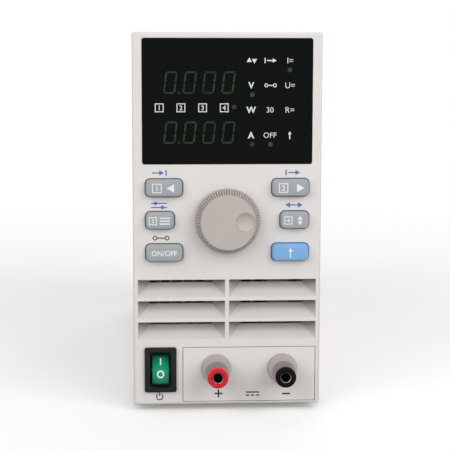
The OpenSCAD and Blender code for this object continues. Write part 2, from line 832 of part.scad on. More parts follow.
// Bent copper strip from a post to the top of the power board
module busbar(x) standing() color("peru") difference() {
    rise = bezel_d + bar_reach;
    elbow = post_mid + bar_reach;
    foot = post_mid - bar_reach;
    top = power_board_top + bar_t;
    side_cut([x - bar_w / 2, x + bar_w / 2]) polygon([
        [bar_front, foot], [bar_front + bar_t, foot], [bar_front + bar_t, elbow],
        [rise + bar_t, elbow], [rise + bar_t, top - bar_t], [rise + bar_lap, top - bar_t],
        [rise + bar_lap, top], [rise, top], [rise, elbow + bar_t], [bar_front, elbow + bar_t]
    ]);
    rod(x, post_mid, [bar_front - over, bar_front + bar_t + over], stud_r + close_fit);
}

// Case
module each_cover_hole()
    for (p = COVER_SCREWS) translate([p[0] * inner_half, p[1], floor_top + flange_h / 2])
        rotate([0, 90, 0]) children();

module end_plate(y)
    front_cut(y) translate([0, (floor_top + inner_top) / 2])
        rounded(2 * inner_half, inner_top - floor_top, bend_in);

module base_tray() standing() color("silver") difference() {
    union() {
        block([-inner_half, inner_half], [bezel_d, panel_in], [case_inset, floor_top]);
        for (s = [0, 1]) mirror([s, 0, 0])
            block([inner_half - sheet_t, inner_half], [bezel_d, panel_in],
                  [case_inset, floor_top + flange_h]);
        end_plate([bezel_d, bezel_d + sheet_t]);
        block([-inner_half, inner_half], [panel_in - sheet_t, panel_in], [case_inset, floor_top + lip_h]);
    }
    for (z = [[floor_top + tray_rim, bezel_screw_low - tray_rim],
              [bezel_screw_low + tray_rim, inner_top - 2 * tray_rim]])
        block([tray_rim - bezel_screw_x, bezel_screw_x - tray_rim],
              [bezel_d - over, bezel_d + sheet_t + over], z);
    for (p = BEZEL_SCREWS) rod(p[0], p[1], [bezel_d - over, bezel_d + sheet_t + over], thin_hole_r);
    for (p = PANEL_SCREWS) rod(p[0], p[1], [panel_in - 2 * sheet_t, panel_in + over], screw_r + close_fit);
    for (p = FEET) translate([p[0], p[1], 0]) cylinder(h = floor_top + over, r = screw_r + close_fit);
    each_cover_hole() cylinder(h = 4 * sheet_t, r = screw_r + close_fit, center = true);
}

module case_cover() standing() color("whitesmoke") difference() {
    lip = [inner_top - lip_h, case_top - sheet_t / 2];
    union() {
        front_cut([bezel_d, body_d]) difference() {
            translate([0, case_top - body_h / 2]) rounded(2 * case_half, body_h, bend_r);
            translate([0, inner_top - body_h / 2]) rounded(2 * inner_half, body_h, bend_in);
            translate([-body_w, case_inset - body_h]) square([2 * body_w, body_h]);
        }
        block([bend_r - inner_half, inner_half - bend_r], [panel_in - sheet_t, panel_in], lip);
    }
    for (p = PANEL_SCREWS) rod(p[0], p[1], [panel_in - 2 * sheet_t, panel_in + over], screw_r + close_fit);
    each_cover_hole() cylinder(h = 4 * sheet_t, r = screw_r + close_fit, center = true);
}

module rear_panel() standing() color("whitesmoke") difference() {
    cut = [panel_in - over, body_d + over];
    end_plate([panel_in, body_d]);
    rod(0, fan_mid, cut, fan_duct_r);
    for (p = FAN_CORNERS) rod(p[0], p[1], cut, fan_screw_r + close_fit);
    for (p = PANEL_SCREWS) rod(p[0], p[1], cut, screw_r + close_fit);
    translate([inlet_x, 0, inlet_mid]) {
        front_cut(cut) square([inlet_w + 2 * slide_fit, inlet_h + 2 * slide_fit], center = true);
        for (s = [-1, 1]) rod(s * inlet_pitch / 2, 0, cut, screw_r + close_fit);
    }
    translate([selector_x, 0, inlet_mid]) {
        front_cut(cut) square([selector_w + 2 * slide_fit, selector_h + 2 * slide_fit], center = true);
        for (s = [-1, 1]) rod(0, s * selector_pitch / 2, cut, screw_r + close_fit);
    }
}

module rubber_feet() standing() color("dimgray")
    for (p = FEET) translate([p[0], p[1], -foot_drop]) difference() {
        cylinder(h = foot_drop + case_inset, r1 = foot_r - foot_taper, r2 = foot_r);
        translate([0, 0, -over]) cylinder(h = over + foot_drop / 2, r = head_r + foot_recess);
        cylinder(h = foot_drop + 2 * case_inset, r = screw_r + close_fit);
    }

module foot_screws() standing() color("silver")
    for (p = FEET) translate([p[0], p[1], 0]) {
        translate([0, 0, -foot_drop / 2 - foot_head_t]) cylinder(h = foot_head_t, r = head_r);
        translate([0, 0, -foot_drop / 2]) cylinder(h = floor_top + foot_drop / 2, r = screw_r);
    }

module cover_screws() standing() color("silver")
    for (p = COVER_SCREWS) translate([p[0] * case_half, p[1], floor_top + flange_h / 2])
        rotate([0, p[0] * 90, 0]) {
            cylinder(h = head_t, r = head_r);
            translate([0, 0, -2 * sheet_t - screw_hold]) cylinder(h = 2 * sheet_t + screw_hold, r = screw_r);
        }

module rear_panel_screws() standing() color("silver")
    for (p = PANEL_SCREWS) panel_screw(p[0], p[1], body_d, panel_t + sheet_t + screw_hold);

// Power stage
module heatsink() standing() color("silver") {
    block([-sink_w / 2, sink_w / 2], [sink_front, sink_front + sink_l], [sink_top - sink_base, sink_top]);
    for (i = [0 : fin_count - 1]) {
        x = -sink_w / 2 + i * (sink_w - fin_t) / (fin_count - 1);
        block([x, x + fin_t], [sink_front, sink_front + sink_l], [floor_top, sink_top]);
    }
}

// Flat power package: moulded block with a metal tab and three legs
module power_package() {
    block([-package_w / 2, package_w / 2], [-package_l / 2, package_l / 2], [0, package_t]);
    block([leg_w - package_w / 2, package_w / 2 - leg_w], [package_l / 2, package_l / 2 + package_tab],
          [0, 2 * leg_t]);
    for (i = [-1, 0, 1]) translate([i * package_w / 3, 0, package_t / 2])
        block([-leg_w / 2, leg_w / 2], [-package_l / 2 - leg_l, -package_l / 2], [0, leg_t]);
}

module power_transistors() standing() color("dimgray")
    for (s = [-1, 1], i = [0 : package_count - 1])
        translate([s * package_x, board_front + package_first + i * package_pitch, sink_top]) power_package();

// Row of upright capacitors on a board
module can_row(count, pitch, h)
    for (i = [0 : count - 1]) translate([(i - (count - 1) / 2) * pitch, 0, 0]) cylinder(h = h, r = can_r);

module power_board() standing() color("darkgreen") {
    translate([0, board_front, power_board_top]) {
        block([-board_w / 2, board_w / 2], [0, power_board_l], [-board_t, 0]);
        translate([0, power_board_l - can_place, 0]) can_row(4, can_pitch, low_can_h);
        translate([0, power_board_l - relay_place, 0])
            block([-relay_w / 2, relay_w / 2], [0, relay_l], [0, low_can_h]);
    }
}

module standoffs(l, base, h)
    for (s = [-1, 1], d = [board_inset, l - board_inset])
        translate([s * (board_w / 2 - standoff_edge), board_front + d, base]) cylinder(h = h, r = standoff_r);

module board_standoffs() standing() color("goldenrod") {
    standoffs(power_board_l, sink_top, standoff_h);
    standoffs(control_board_l, shelf_mid + sheet_t, control_standoff_h);
}

module component_shelf() standing() color("silver") difference() {
    half = inner_half - sheet_t;
    depth = [board_front, board_front + shelf_l];
    union() {
        block([-half, half], depth, [shelf_mid, shelf_mid + sheet_t]);
        for (s = [0, 1]) mirror([s, 0, 0])
            block([half - sheet_t, half], depth, [floor_top, shelf_mid]);
    }
    each_cover_hole() cylinder(h = 8 * sheet_t, r = screw_r + slide_fit, center = true);
}

module control_board() standing() color("darkgreen")
    translate([0, board_front, shelf_mid + sheet_t + control_standoff_h]) {
        block([-board_w / 2, board_w / 2], [0, control_board_l], [0, board_t]);
        for (i = [-1, 0, 1]) translate([i * chip_pitch, chip_place, board_t])
            block([-chip_w / 2, chip_w / 2], [-chip_w / 2, chip_w / 2], [0, chip_t]);
        translate([0, control_board_l - can_inset, board_t]) can_row(4, can_pitch, tall_can_h);
        block([-header_w / 2, header_w / 2], [header_inset, header_inset + header_l],
              [board_t, board_t + low_can_h]);
    }

// Transformer: laminated frame round a winding on a bobbin
module transformer_core() standing() color("dimgray")
    translate([0, core_front, shelf_mid + sheet_t]) difference() {
        block([-core_w / 2, core_w / 2], [0, core_l], [0, core_h]);
        for (s = [0, 1]) mirror([s, 0, 0])
            block([core_w / 6, core_w / 3], [-over, core_l + over],
                  [(core_h - coil_h) / 2, (core_h + coil_h) / 2]);
    }

module transformer_winding() standing() color("khaki")
    translate([0, core_front, shelf_mid + sheet_t + core_h / 2]) difference() {
        block([close_fit - core_w / 3, core_w / 3 - close_fit], [-coil_out, core_l + coil_out],
              [close_fit - coil_h / 2, coil_h / 2 - close_fit]);
        block([-core_w / 6 - close_fit, core_w / 6 + close_fit], [-close_fit, core_l + close_fit],
              [-core_h, core_h]);
    }

// Fan
module fan_frame() standing() color("dimgray") difference() {
    union() {
        difference() {
            translate([0, 0, fan_mid]) front_cut([fan_front, panel_in]) rounded(fan_w, fan_w, fan_corner_r);
            rod(0, fan_mid, [fan_front - over, panel_in + over], fan_duct_r);
        }
        rod(0, fan_mid, [panel_in - fan_plate_t, panel_in], fan_hub_r);
        rod(0, fan_mid, [fan_front + 2 * bearing_t, panel_in], fan_shaft_r + bearing_t);
        for (a = [45 : 90 : 315]) translate([0, 0, fan_mid]) rotate([0, a, 0])
            block([fan_shaft_r + bearing_t + 1, fan_duct_r + 1], [panel_in - fan_plate_t, panel_in],
                  [-strut_w / 2, strut_w / 2]);
    }
    rod(0, fan_mid, [fan_front, panel_in - fan_plate_t / 3], fan_shaft_r + run_fit);
    for (p = FAN_CORNERS) rod(p[0], p[1], [fan_front - over, panel_in + over], fan_screw_r + close_fit);
}

// Curved blade section, carried outwards from the hub and set at an angle
module fan_blade()
    translate([fan_hub_r - 1, 0, 0]) rotate([blade_pitch, 0, 0])
        rotate([0, 90, 0]) linear_extrude(fan_duct_r - fan_hub_r - blade_air) intersection() {
            translate([blade_curve_r, 0]) difference() {
                circle(blade_curve_r + blade_t);
                circle(blade_curve_r);
            }
            translate([-blade_chord / 3, -blade_chord / 2]) square([2 * blade_chord / 3, blade_chord]);
        }

module fan_rotor() standing() color("black") translate([0, 0, fan_mid]) {
    cup = [fan_front + cup_wall, panel_in - fan_plate_t - cup_wall];
    difference() {
        rod(0, 0, cup, fan_hub_r);
        rod(0, 0, [cup[0] + cup_wall, cup[1] + over], fan_hub_r - cup_wall);
    }
    rod(0, 0, [cup[0], panel_in - fan_plate_t / 2], fan_shaft_r);
    for (i = [0 : fan_blades - 1]) rotate([0, i * 360 / fan_blades, 0])
        translate([0, (cup[0] + cup[1]) / 2, 0]) fan_blade();
}

module guard_ring(r)
    rotate([-90, 0, 0]) rotate_extrude() translate([r, 0]) circle(wire_r);

module fan_guard() standing() color("silver") {
    eye_r = fan_screw_r + wire_r + slide_fit;
    reach = fan_pitch / sqrt(2);
    inner_r = 4 * wire_r;
    for (i = [1 : guard_rings]) translate([0, body_d + 2.6 * wire_r, fan_mid])
        guard_ring(inner_r + i * (fan_duct_r - inner_r) / guard_rings);
    for (p = FAN_CORNERS) translate([p[0], body_d + wire_r, p[1]]) guard_ring(eye_r);
    for (a = [45 : 90 : 315]) translate([0, body_d + wire_r, fan_mid]) rotate([0, a, 0]) rotate([0, 90, 0])
        translate([0, 0, 2 * inner_r]) cylinder(h = reach - eye_r - 2 * inner_r, r = wire_r);
}

module fan_screws() standing() color("silver")
    for (p = FAN_CORNERS)
        panel_screw(p[0], p[1], body_d + 2 * wire_r, fan_screw_l, fan_screw_r, 2 * fan_screw_r,
                    rear_reach - 2 * wire_r);

// Mains inlet and voltage selector
module mains_inlet() standing() color("dimgray") difference() {
    front = body_d + inlet_rim;
    translate([inlet_x, 0, inlet_mid]) union() {
        front_cut([body_d, front]) rounded(inlet_pitch + inlet_ear, inlet_h + inlet_brim, inlet_brim);
        block([-inlet_w / 2, inlet_w / 2], [body_d - inlet_d, body_d], [-inlet_h / 2, inlet_h / 2]);
    }
    translate([inlet_x, 0, inlet_mid]) {
        front_cut([front - socket_l, front + over]) translate([0, socket_mid]) polygon([
            for (s = [-1, 1], p = s < 0 ? [0, 1, 2] : [2, 1, 0])
                [s * (socket_w / 2 - (p == 2 ? socket_slant : 0)),
                 [-socket_h / 2, socket_h / 2 - socket_slant, socket_h / 2][p]]
        ]);
        block([-drawer_w / 2, drawer_w / 2], [front - drawer_l - drawer_lip, front + over],
              [drawer_mid - drawer_h / 2, drawer_mid + drawer_h / 2]);
        for (s = [-1, 1]) rod(s * inlet_pitch / 2, 0, [body_d - over, front + over], screw_r + close_fit);
    }
}

module inlet_pins() standing() color("lightgray")
    translate([inlet_x, body_d + inlet_rim - socket_l, inlet_mid + socket_mid])
        for (p = [[-pin_x, -pin_h / 2], [pin_x, -pin_h / 2], [0, pin_h / 2]])
            block([p[0] - pin_w / 2, p[0] + pin_w / 2], [0, pin_l], [p[1] - pin_h / 2, p[1] + pin_h / 2]);

module fuse_drawer() standing() color("dimgray")
    translate([inlet_x, body_d + inlet_rim, inlet_mid + drawer_mid]) difference() {
        union() {
            block([slide_fit - drawer_w / 2, drawer_w / 2 - slide_fit], [-drawer_l, 0],
                  [slide_fit - drawer_h / 2, drawer_h / 2 - slide_fit]);
            front_cut([0, rear_reach - inlet_rim])
                rounded(drawer_w + 2 * drawer_lip, drawer_h + 2 * drawer_lip, drawer_lip);
        }
        block([-fuse_l / 2 - close_fit, fuse_l / 2 + close_fit],
              [fuse_place - fuse_r - close_fit, fuse_place + fuse_r + close_fit], [-fuse_r, drawer_h]);
    }

module mains_fuse() standing() color("lightcyan")
    translate([inlet_x, body_d + inlet_rim + fuse_place, inlet_mid + drawer_mid]) rotate([0, 90, 0])
        cylinder(h = fuse_l, r = fuse_r, center = true);

module voltage_selector() standing() color("dimgray")
    translate([selector_x, body_d, inlet_mid]) difference() {
        slot_half = (slider_h + selector_travel) / 2 + slide_fit;
        union() {
            front_cut([0, selector_rim])
                rounded(selector_w + selector_brim, selector_pitch + 4 * selector_brim, selector_brim);
            block([-selector_w / 2, selector_w / 2], [-selector_d, 0], [-selector_h / 2, selector_h / 2]);
        }
        block([-slider_w / 2 - slide_fit, slider_w / 2 + slide_fit], [-slider_d, selector_rim + over],
              [-slot_half, slot_half]);
        for (s = [-1, 1]) rod(0, s * selector_pitch / 2, [-over, selector_rim + over], screw_r + close_fit);
    }

module selector_slider() standing() color("firebrick")
    translate([selector_x, body_d, inlet_mid - selector_travel / 2]) difference() {
        block([-slider_w / 2, slider_w / 2], [-slider_d, slider_proud], [-slider_h / 2, slider_h / 2]);
        block([-slider_w, slider_w], [-slider_proud, over], [-slider_slot / 2, slider_slot / 2]);
    }

module inlet_screws() standing() color("silver") {
    for (s = [-1, 1]) {
        panel_screw(inlet_x + s * inlet_pitch / 2, inlet_mid, body_d + inlet_rim,
                    inlet_rim + panel_t + inlet_screw_hold);
        panel_screw(selector_x, inlet_mid + s * selector_pitch / 2, body_d + selector_rim,
                    selector_rim + panel_t + inlet_screw_hold);
    }
}

front_bezel();
display_window();
keypad_mat();
for (k = KEYS) key(k[1], k[2], k[3]);
encoder_knob();
encoder_shaft();
encoder_body();
display_board();
digit_display(upper_digits);  // upper_digit_display
digit_display(lower_digits);  // lower_digit_display
indicator_lamps();
display_board_screws();
rocker_switch_housing();
power_rocker();
switch_terminals();
terminal_plate();
for (p = POSTS) {
    post_stud(p[1]);
    clamp_washer(p[1]);
    post_cap(p[1]);
    tip_ring(p[1], p[2]);
    busbar(p[1]);
}
post_insulators();
post_nuts();
base_tray();
case_cover();
rear_panel();
rubber_feet();
foot_screws();
cover_screws();
bezel_screws();
rear_panel_screws();
heatsink();
power_transistors();
power_board();
control_board();
board_standoffs();
component_shelf();
transformer_core();
transformer_winding();
fan_frame();
fan_rotor();
fan_guard();
fan_screws();
mains_inlet();
inlet_pins();
fuse_drawer();
mains_fuse();
voltage_selector();
selector_slider();
inlet_screws();
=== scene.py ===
# %% [markdown]
# A bench dc electronic load, dressed for its portrait.
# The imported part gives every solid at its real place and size. This lesson keeps those solids, lays a
# finish on each, and replaces the ones that the eye rests on with smoother surfaces worked out in numpy.
# Lengths below are in millimetres on the front face: x from the middle, h from the bezel's lower edge,
# and lift in front of the face. One function turns them into metres in the part's own frame.

# %% Load the frame
import json

import bmesh
import bpy
import numpy as np
from mathutils import Matrix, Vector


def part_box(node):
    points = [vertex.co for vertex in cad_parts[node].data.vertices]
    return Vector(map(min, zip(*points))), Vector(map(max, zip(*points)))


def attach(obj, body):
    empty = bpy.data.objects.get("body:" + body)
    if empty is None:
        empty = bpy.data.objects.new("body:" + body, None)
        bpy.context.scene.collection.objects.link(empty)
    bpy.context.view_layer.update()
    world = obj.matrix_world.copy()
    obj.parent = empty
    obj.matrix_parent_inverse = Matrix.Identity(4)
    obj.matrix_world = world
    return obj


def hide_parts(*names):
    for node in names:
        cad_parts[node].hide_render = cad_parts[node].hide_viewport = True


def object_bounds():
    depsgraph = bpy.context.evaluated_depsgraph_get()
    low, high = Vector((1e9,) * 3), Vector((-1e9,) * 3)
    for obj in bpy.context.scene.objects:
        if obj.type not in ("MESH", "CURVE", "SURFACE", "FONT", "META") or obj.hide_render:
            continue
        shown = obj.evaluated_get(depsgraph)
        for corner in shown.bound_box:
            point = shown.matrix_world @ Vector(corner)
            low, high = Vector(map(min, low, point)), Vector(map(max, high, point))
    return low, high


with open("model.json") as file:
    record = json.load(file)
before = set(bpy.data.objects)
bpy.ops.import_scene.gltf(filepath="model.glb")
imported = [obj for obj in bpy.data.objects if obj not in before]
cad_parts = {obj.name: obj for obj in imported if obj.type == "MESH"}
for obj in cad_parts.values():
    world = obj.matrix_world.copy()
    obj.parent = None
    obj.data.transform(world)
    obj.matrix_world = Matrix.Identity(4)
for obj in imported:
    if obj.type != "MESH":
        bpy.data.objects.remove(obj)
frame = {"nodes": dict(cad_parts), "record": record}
cad_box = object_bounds()
nodes = frame["nodes"]
MM = 0.001
FACE_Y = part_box("front_bezel")[0].y
BASE_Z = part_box("front_bezel")[0].z


def on_face(x, h, lift):
    """Face millimetres to metres: x stays, lift comes forward from the face, h goes up."""
    x, h, lift = np.broadcast_arrays(x, h, lift)
    return np.stack([x * MM, FACE_Y - lift * MM, BASE_Z + h * MM], axis=-1)


def face_box(node):
    """A node's lowest and highest (x, h, lift), in face millimetres."""
    low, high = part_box(node)
    return np.array([
        [low.x / MM, (low.z - BASE_Z) / MM, (FACE_Y - high.y) / MM],
        [high.x / MM, (high.z - BASE_Z) / MM, (FACE_Y - low.y) / MM],
    ])

# %% [markdown]
# The camera comes first, because the likeness to the photograph depends on it.
# The instrument was taken from a little left of its middle and level with its top edge, looking down
# by seven and a half degrees. A yaw, a pitch and a roll of the object, and its place in front of the
# lens, give the view directly: the rows of the turning matrix are the camera's own axes.

# %% Camera
VIEW_YAW = 3.218
VIEW_PITCH = 7.588
VIEW_ROLL = 0.108
VIEW_OFFSET_MM = np.array([1.049, 650.0, 1.690])
VIEW_FOCAL_PX = 1392.6
PHOTO_PX = 450
SENSOR_MM = 36.0
BEZEL_H = face_box("front_bezel")[1][1]


def turn(axis, degrees):
    """Right-handed turn about one axis, as a 3 by 3 matrix."""
    c = np.cos(np.radians(degrees))
    s = np.sin(np.radians(degrees))
    i, j = [(1, 2), (2, 0), (0, 1)][axis]
    matrix = np.eye(3)
    matrix[[i, j], [i, j]] = c
    matrix[i, j] = -s
    matrix[j, i] = s
    return matrix


def stand(name, data, axes, place):
    """Link a camera or lamp whose own x, y and z axes are the three given ones, at a place."""
    made = bpy.data.objects.new(name, data)
    bpy.context.scene.collection.objects.link(made)
    matrix = np.eye(4)
    matrix[:3, :3] = np.stack(axes, axis=1)
    matrix[:3, 3] = place
    made.matrix_world = Matrix(matrix.tolist())
    return made


def aim_camera():
    """Stand the camera where the turned and shifted object would look as it does in the photograph."""
    axes = turn(1, VIEW_ROLL) @ turn(0, VIEW_PITCH) @ turn(2, VIEW_YAW)
    spot = on_face(0.0, BEZEL_H / 2, 0.0) - axes.T @ (VIEW_OFFSET_MM * MM)
    data = bpy.data.cameras.new("camera")
    data.sensor_width = SENSOR_MM
    data.lens = VIEW_FOCAL_PX / PHOTO_PX * SENSOR_MM
    data.clip_end = 50.0
    bpy.context.scene.camera = stand("camera", data, [axes[0], axes[2], -axes[1]], spot)
    print("camera at", spot.round(3), "lens", round(data.lens, 1))


aim_camera()

# %% [markdown]
# Shader maths reads better as Python than as a list of links. A Flow wraps one socket, and plain
# operators on it add Math nodes. A NodeMaker adds every other node through one method. A Finish is a
# NodeMaker for one material, and knows how to lay noise, mix colours and raise a bump on its shader.

# %% Shader tools
class Flow:
    """One output socket. Python's operators on it add Math nodes to its tree."""

    def __init__(self, maker, socket):
        self.maker = maker
        self.socket = socket

    def math(self, operation, first, second):
        return self.maker.node("ShaderNodeMath", {"operation": operation}, {0: first, 1: second})

    def __add__(self, other):
        return self.math("ADD", self, other)

    def __radd__(self, other):
        return self.math("ADD", other, self)

    def __sub__(self, other):
        return self.math("SUBTRACT", self, other)

    def __rsub__(self, other):
        return self.math("SUBTRACT", other, self)

    def __mul__(self, other):
        return self.math("MULTIPLY", self, other)

    def __rmul__(self, other):
        return self.math("MULTIPLY", other, self)

    def __pow__(self, other):
        return self.math("POWER", self, other)

    def __mod__(self, other):
        return self.math("MODULO", self, other)

    def at_least(self, other):
        return self.math("MAXIMUM", self, other)

    def at_most(self, other):
        return self.math("MINIMUM", self, other)

    def steps_over(self, edge):
        return self.math("GREATER_THAN", self, edge)


def tint(red, green, blue):
    """A colour as the screen shows it, 0 to 255 each, as the linear colour that a shader takes."""
    shown = np.array([red, green, blue]) / 255.0
    linear = np.where(shown <= 0.04045, shown / 12.92, ((shown + 0.055) / 1.055) ** 2.4)
    return (*linear.tolist(), 1.0)


class NodeMaker:
    """Adds nodes to one tree, that of a material or of the sky."""

    def __init__(self, tree):
        self.tree = tree

    def node(self, kind, settings=None, inputs=None, output=0):
        """Add a node: settings first, then the values or links of its sockets."""
        made = self.tree.nodes.new(kind)
        for key, value in (settings or {}).items():
            setattr(made, key, value)
        for key, value in (inputs or {}).items():
            self.feed(made.inputs[key], value)
        return Flow(self, made.outputs[output])

    def feed(self, socket, value):
        """Link a Flow to a socket, or set the socket's own value."""
        if isinstance(value, Flow):
            self.tree.links.new(value.socket, socket)
        else:
            socket.default_value = value


class Finish(NodeMaker):
    """One procedural material on the Principled shader."""

    def __init__(self, name):
        self.material = bpy.data.materials.new(name)
        self.material.use_nodes = True
        super().__init__(self.material.node_tree)
        self.shader = self.tree.nodes["Principled BSDF"]
        self.place = self.node("ShaderNodeTexCoord", output="Object")

    def wear(self, **sockets):
        """Set the shader's sockets: Base_Color=..., Roughness=... with spaces as underscores."""
        for key, value in sockets.items():
            self.feed(self.shader.inputs[key.replace("_", " ")], value)
        return self

    def noise(self, size_mm, detail=2.0, along=(1.0, 1.0, 1.0)):
        """Noise between 0 and 1 whose features are about size_mm across; along stretches each axis."""
        place = self.node("ShaderNodeMapping", {}, {"Vector": self.place, "Scale": along})
        inputs = {"Vector": place, "Scale": 1.0 / (size_mm * MM), "Detail": detail}
        return self.node("ShaderNodeTexNoise", {}, inputs)

    def mix(self, first, second, factor):
        """Blend two colours by a factor. A Mix node's colours are sockets 6 and 7, their blend output 2."""
        return self.node("ShaderNodeMix", {"data_type": "RGBA"}, {0: factor, 6: first, 7: second}, output=2)

    def axis(self, index):
        """One coordinate of the point, in millimetres of the part's frame."""
        split = self.node("ShaderNodeSeparateXYZ", {}, {0: self.place}, output=index)
        return split * (1.0 / MM)

    def bump(self, height, depth_mm, strength=1.0):
        inputs = {"Height": height, "Distance": depth_mm * MM, "Strength": strength}
        return self.wear(Normal=self.node("ShaderNodeBump", {}, inputs))


def shade(colour, amount):
    """The same colour, lighter or darker by a factor."""
    return (*[min(1.0, c * amount) for c in colour[:3]], 1.0)

# %% [markdown]
# The finishes start with painted shade. Grooves, sockets and screw slots are darkened as painted shade, and
# the pieces below store how much in a point attribute. The louvres are one imported solid without such an
# attribute, so their painted shade is worked out from the place and the facing of each point.

# %% Painted shade
def read_painted_shade(f):
    """How much painted shade a point has, as the piece's own attribute says."""
    return f.node("ShaderNodeAttribute", {"attribute_name": "painted_shade"}, output="Fac")


LOUVRE_TOP = 60.0
LOUVRE_PITCH = 10.1
LOUVRE_H = 8.6
LOUVRE_ZONE_H = 30.0
LOUVRE_ZONE_HALF = 43.0
# Painted shade under the louvre hoods: where it starts behind the face, its strength on the sloped floors and
# end walls, and how fast it falls off below each hood.
SHADE_STARTS_MM = 0.5
FLOOR_SHADE = 0.85
FLOOR_SHADE_FALL = 2.6
WALL_SHADE = 0.96
WALL_SHADE_FALL = 0.95
LEAST_SHADE = 0.16
END_WALL_GAIN = 1.3


def hood_shade(f):
    """Painted shade in the louvres: none on the face, most under each louvre's upper edge and on its end
    walls.
    """
    height = f.axis(2) - BASE_Z / MM
    fallen = ((LOUVRE_TOP - height) % LOUVRE_PITCH) * (1.0 / LOUVRE_H)
    facing = f.node("ShaderNodeTexCoord", output="Normal")
    across = f.node("ShaderNodeSeparateXYZ", {}, {0: facing}, output=0)
    end_wall = (END_WALL_GAIN * across * across).at_most(1.0)
    on_floor = (FLOOR_SHADE - FLOOR_SHADE_FALL * fallen).at_least(LEAST_SHADE)
    on_wall = (WALL_SHADE - WALL_SHADE_FALL * fallen).at_least(LEAST_SHADE)
    behind = ((f.axis(1) - FACE_Y / MM) * (1.0 / SHADE_STARTS_MM)).at_least(0.0).at_most(1.0)
    zone = height.steps_over(LOUVRE_TOP - LOUVRE_ZONE_H) * (0.0 - height).steps_over(-LOUVRE_TOP)
    inside = (LOUVRE_ZONE_HALF ** 2 - f.axis(0) * f.axis(0)).steps_over(0.0)
    return (on_floor + end_wall * (on_wall - on_floor)) * behind * zone * inside


def darken_with_shade(f, base, dark, settled):
    """The base colour, darkened by painted shade where the mask says."""
    return f.mix(base, dark, settled(f))

# %% [markdown]
# Moulded parts have a fine spark-eroded grain that breaks up reflections, and a tone that drifts a little
# over the part. Silicone keys are smoother and softer, so they get a faint sheen. Each finish is a short
# function of its colour, so that one kind of plastic in three colours stays one recipe.

# %% Plastics and rubber
def moulded(name, colour, roughness=0.5, grain_mm=0.35, relief_mm=0.012, drift=0.05, dust=None,
            settled=read_painted_shade, **more):
    """Moulded plastic: tone drifts over centimetres, grain breaks the surface up at a third of a mm."""
    f = Finish(name)
    cloud = f.noise(28.0, 3.0)
    grain = f.noise(grain_mm, 3.0)
    base = f.mix(shade(colour, 1.0 - drift), shade(colour, 1.0 + drift), cloud)
    base = f.mix(base, shade(colour, 0.93), 0.35 * grain)
    # Where a dark tint is given, the base colour is darkened by painted shade, as much as the given mask
    # says.
    f.wear(Base_Color=base if dust is None else darken_with_shade(f, base, dust, settled))
    f.wear(Roughness=roughness - 0.06 + 0.12 * cloud, **more)
    return f.bump(grain, relief_mm, 0.5)


def silicone(name, colour):
    """Silicone rubber: almost smooth, a soft skin with very fine mottling."""
    f = Finish(name)
    mottle = f.noise(0.8, 4.0)
    smear = f.noise(6.0, 2.0)
    f.wear(Base_Color=f.mix(shade(colour, 0.93), shade(colour, 1.06), 0.6 * mottle + 0.4 * smear))
    f.wear(Roughness=0.5 + 0.15 * smear, Sheen_Weight=0.15, Specular_IOR_Level=0.35)
    return f.bump(mottle, 0.01, 0.4)

# %% [markdown]
# Painted sheet shows the orange peel of powder coat, which is dull. Metals are drawn or plated, so their
# noise is stretched along one direction, like the lines that a drawing die leaves.

# %% Paint and metal
def powder_coat(name, colour):
    """Powder coat on sheet: a coarse orange peel under a fine speckle."""
    f = Finish(name)
    peel = f.noise(1.1, 2.0)
    speckle = f.noise(0.25, 2.0)
    cloud = f.noise(45.0, 3.0)
    f.wear(Base_Color=f.mix(shade(colour, 0.95), shade(colour, 1.04), 0.5 * cloud + 0.5 * speckle))
    f.wear(Roughness=0.66 + 0.1 * cloud, Specular_IOR_Level=0.15)
    return f.bump(0.7 * peel + 0.3 * speckle, 0.03, 0.45)


def metal(name, colour, roughness, lay=(1.0, 1.0, 14.0), line_mm=0.5, tarnish=None):
    """Drawn or plated metal: fine lines along one axis, tarnished soft patches, and painted shade where a
    dark tint is given.
    """
    f = Finish(name)
    lines = f.noise(line_mm, 3.0, along=lay)
    patch = f.noise(9.0, 3.0)
    base = f.mix(shade(colour, 0.82), shade(colour, 1.05), patch)
    # A dark tint, where given, paints shade into screw slots and socket bores.
    f.wear(Base_Color=base if tarnish is None else darken_with_shade(f, base, tarnish, read_painted_shade), Metallic=1.0)
    f.wear(Roughness=roughness - 0.07 + 0.14 * lines + 0.06 * patch)
    return f.bump(lines, 0.004, 0.35)

# %% [markdown]
# These are the smoked window, and the parts that show through the slots or when the case is open: boards
# with copper tracks under green resist, stacked core sheets, wound tape and the glass of the fuse.

# %% Window, boards and windings
def smoked_window(name, colour):
    """Smoked acrylic: near black, a polished face with the faintest wiping marks."""
    f = Finish(name)
    wipe = f.noise(5.0, 4.0, along=(1.0, 1.0, 4.0))
    depth = f.noise(30.0, 2.0)
    f.wear(Base_Color=f.mix(shade(colour, 0.8), shade(colour, 1.25), depth))
    return f.wear(Roughness=0.13 + 0.07 * wipe, Specular_IOR_Level=0.06)


def circuit_board(name, colour):
    """Solder resist over copper: tracks show as lighter lines at two pitches."""
    f = Finish(name)
    wave = {"Vector": f.place, "Scale": 420.0, "Distortion": 2.5, "Detail": 1.0}
    across = f.node("ShaderNodeTexWave", {"bands_direction": "X"}, wave, output="Fac")
    along = f.node("ShaderNodeTexWave", {"bands_direction": "Y"}, wave, output="Fac")
    tracks = across.steps_over(0.72).at_least(along.steps_over(0.8))
    f.wear(Base_Color=f.mix(colour, shade(colour, 2.0), tracks), Roughness=0.35 - 0.1 * tracks)
    return f.bump(tracks, 0.03, 0.6)


def striped(name, colour, pitch_mm, index, roughness=0.55, metallic=0.0):
    """Stacked sheets or wound layers: a stripe for each layer along one axis."""
    f = Finish(name)
    wobble = f.noise(3.0, 2.0)
    along = f.axis(index) + 0.2 * wobble
    level = along.math("PINGPONG", along, pitch_mm) * (1.0 / pitch_mm)
    f.wear(Base_Color=f.mix(shade(colour, 0.7), shade(colour, 1.15), level), Metallic=metallic)
    f.wear(Roughness=roughness - 0.1 + 0.2 * wobble)
    return f.bump(level, 0.12, 0.7)


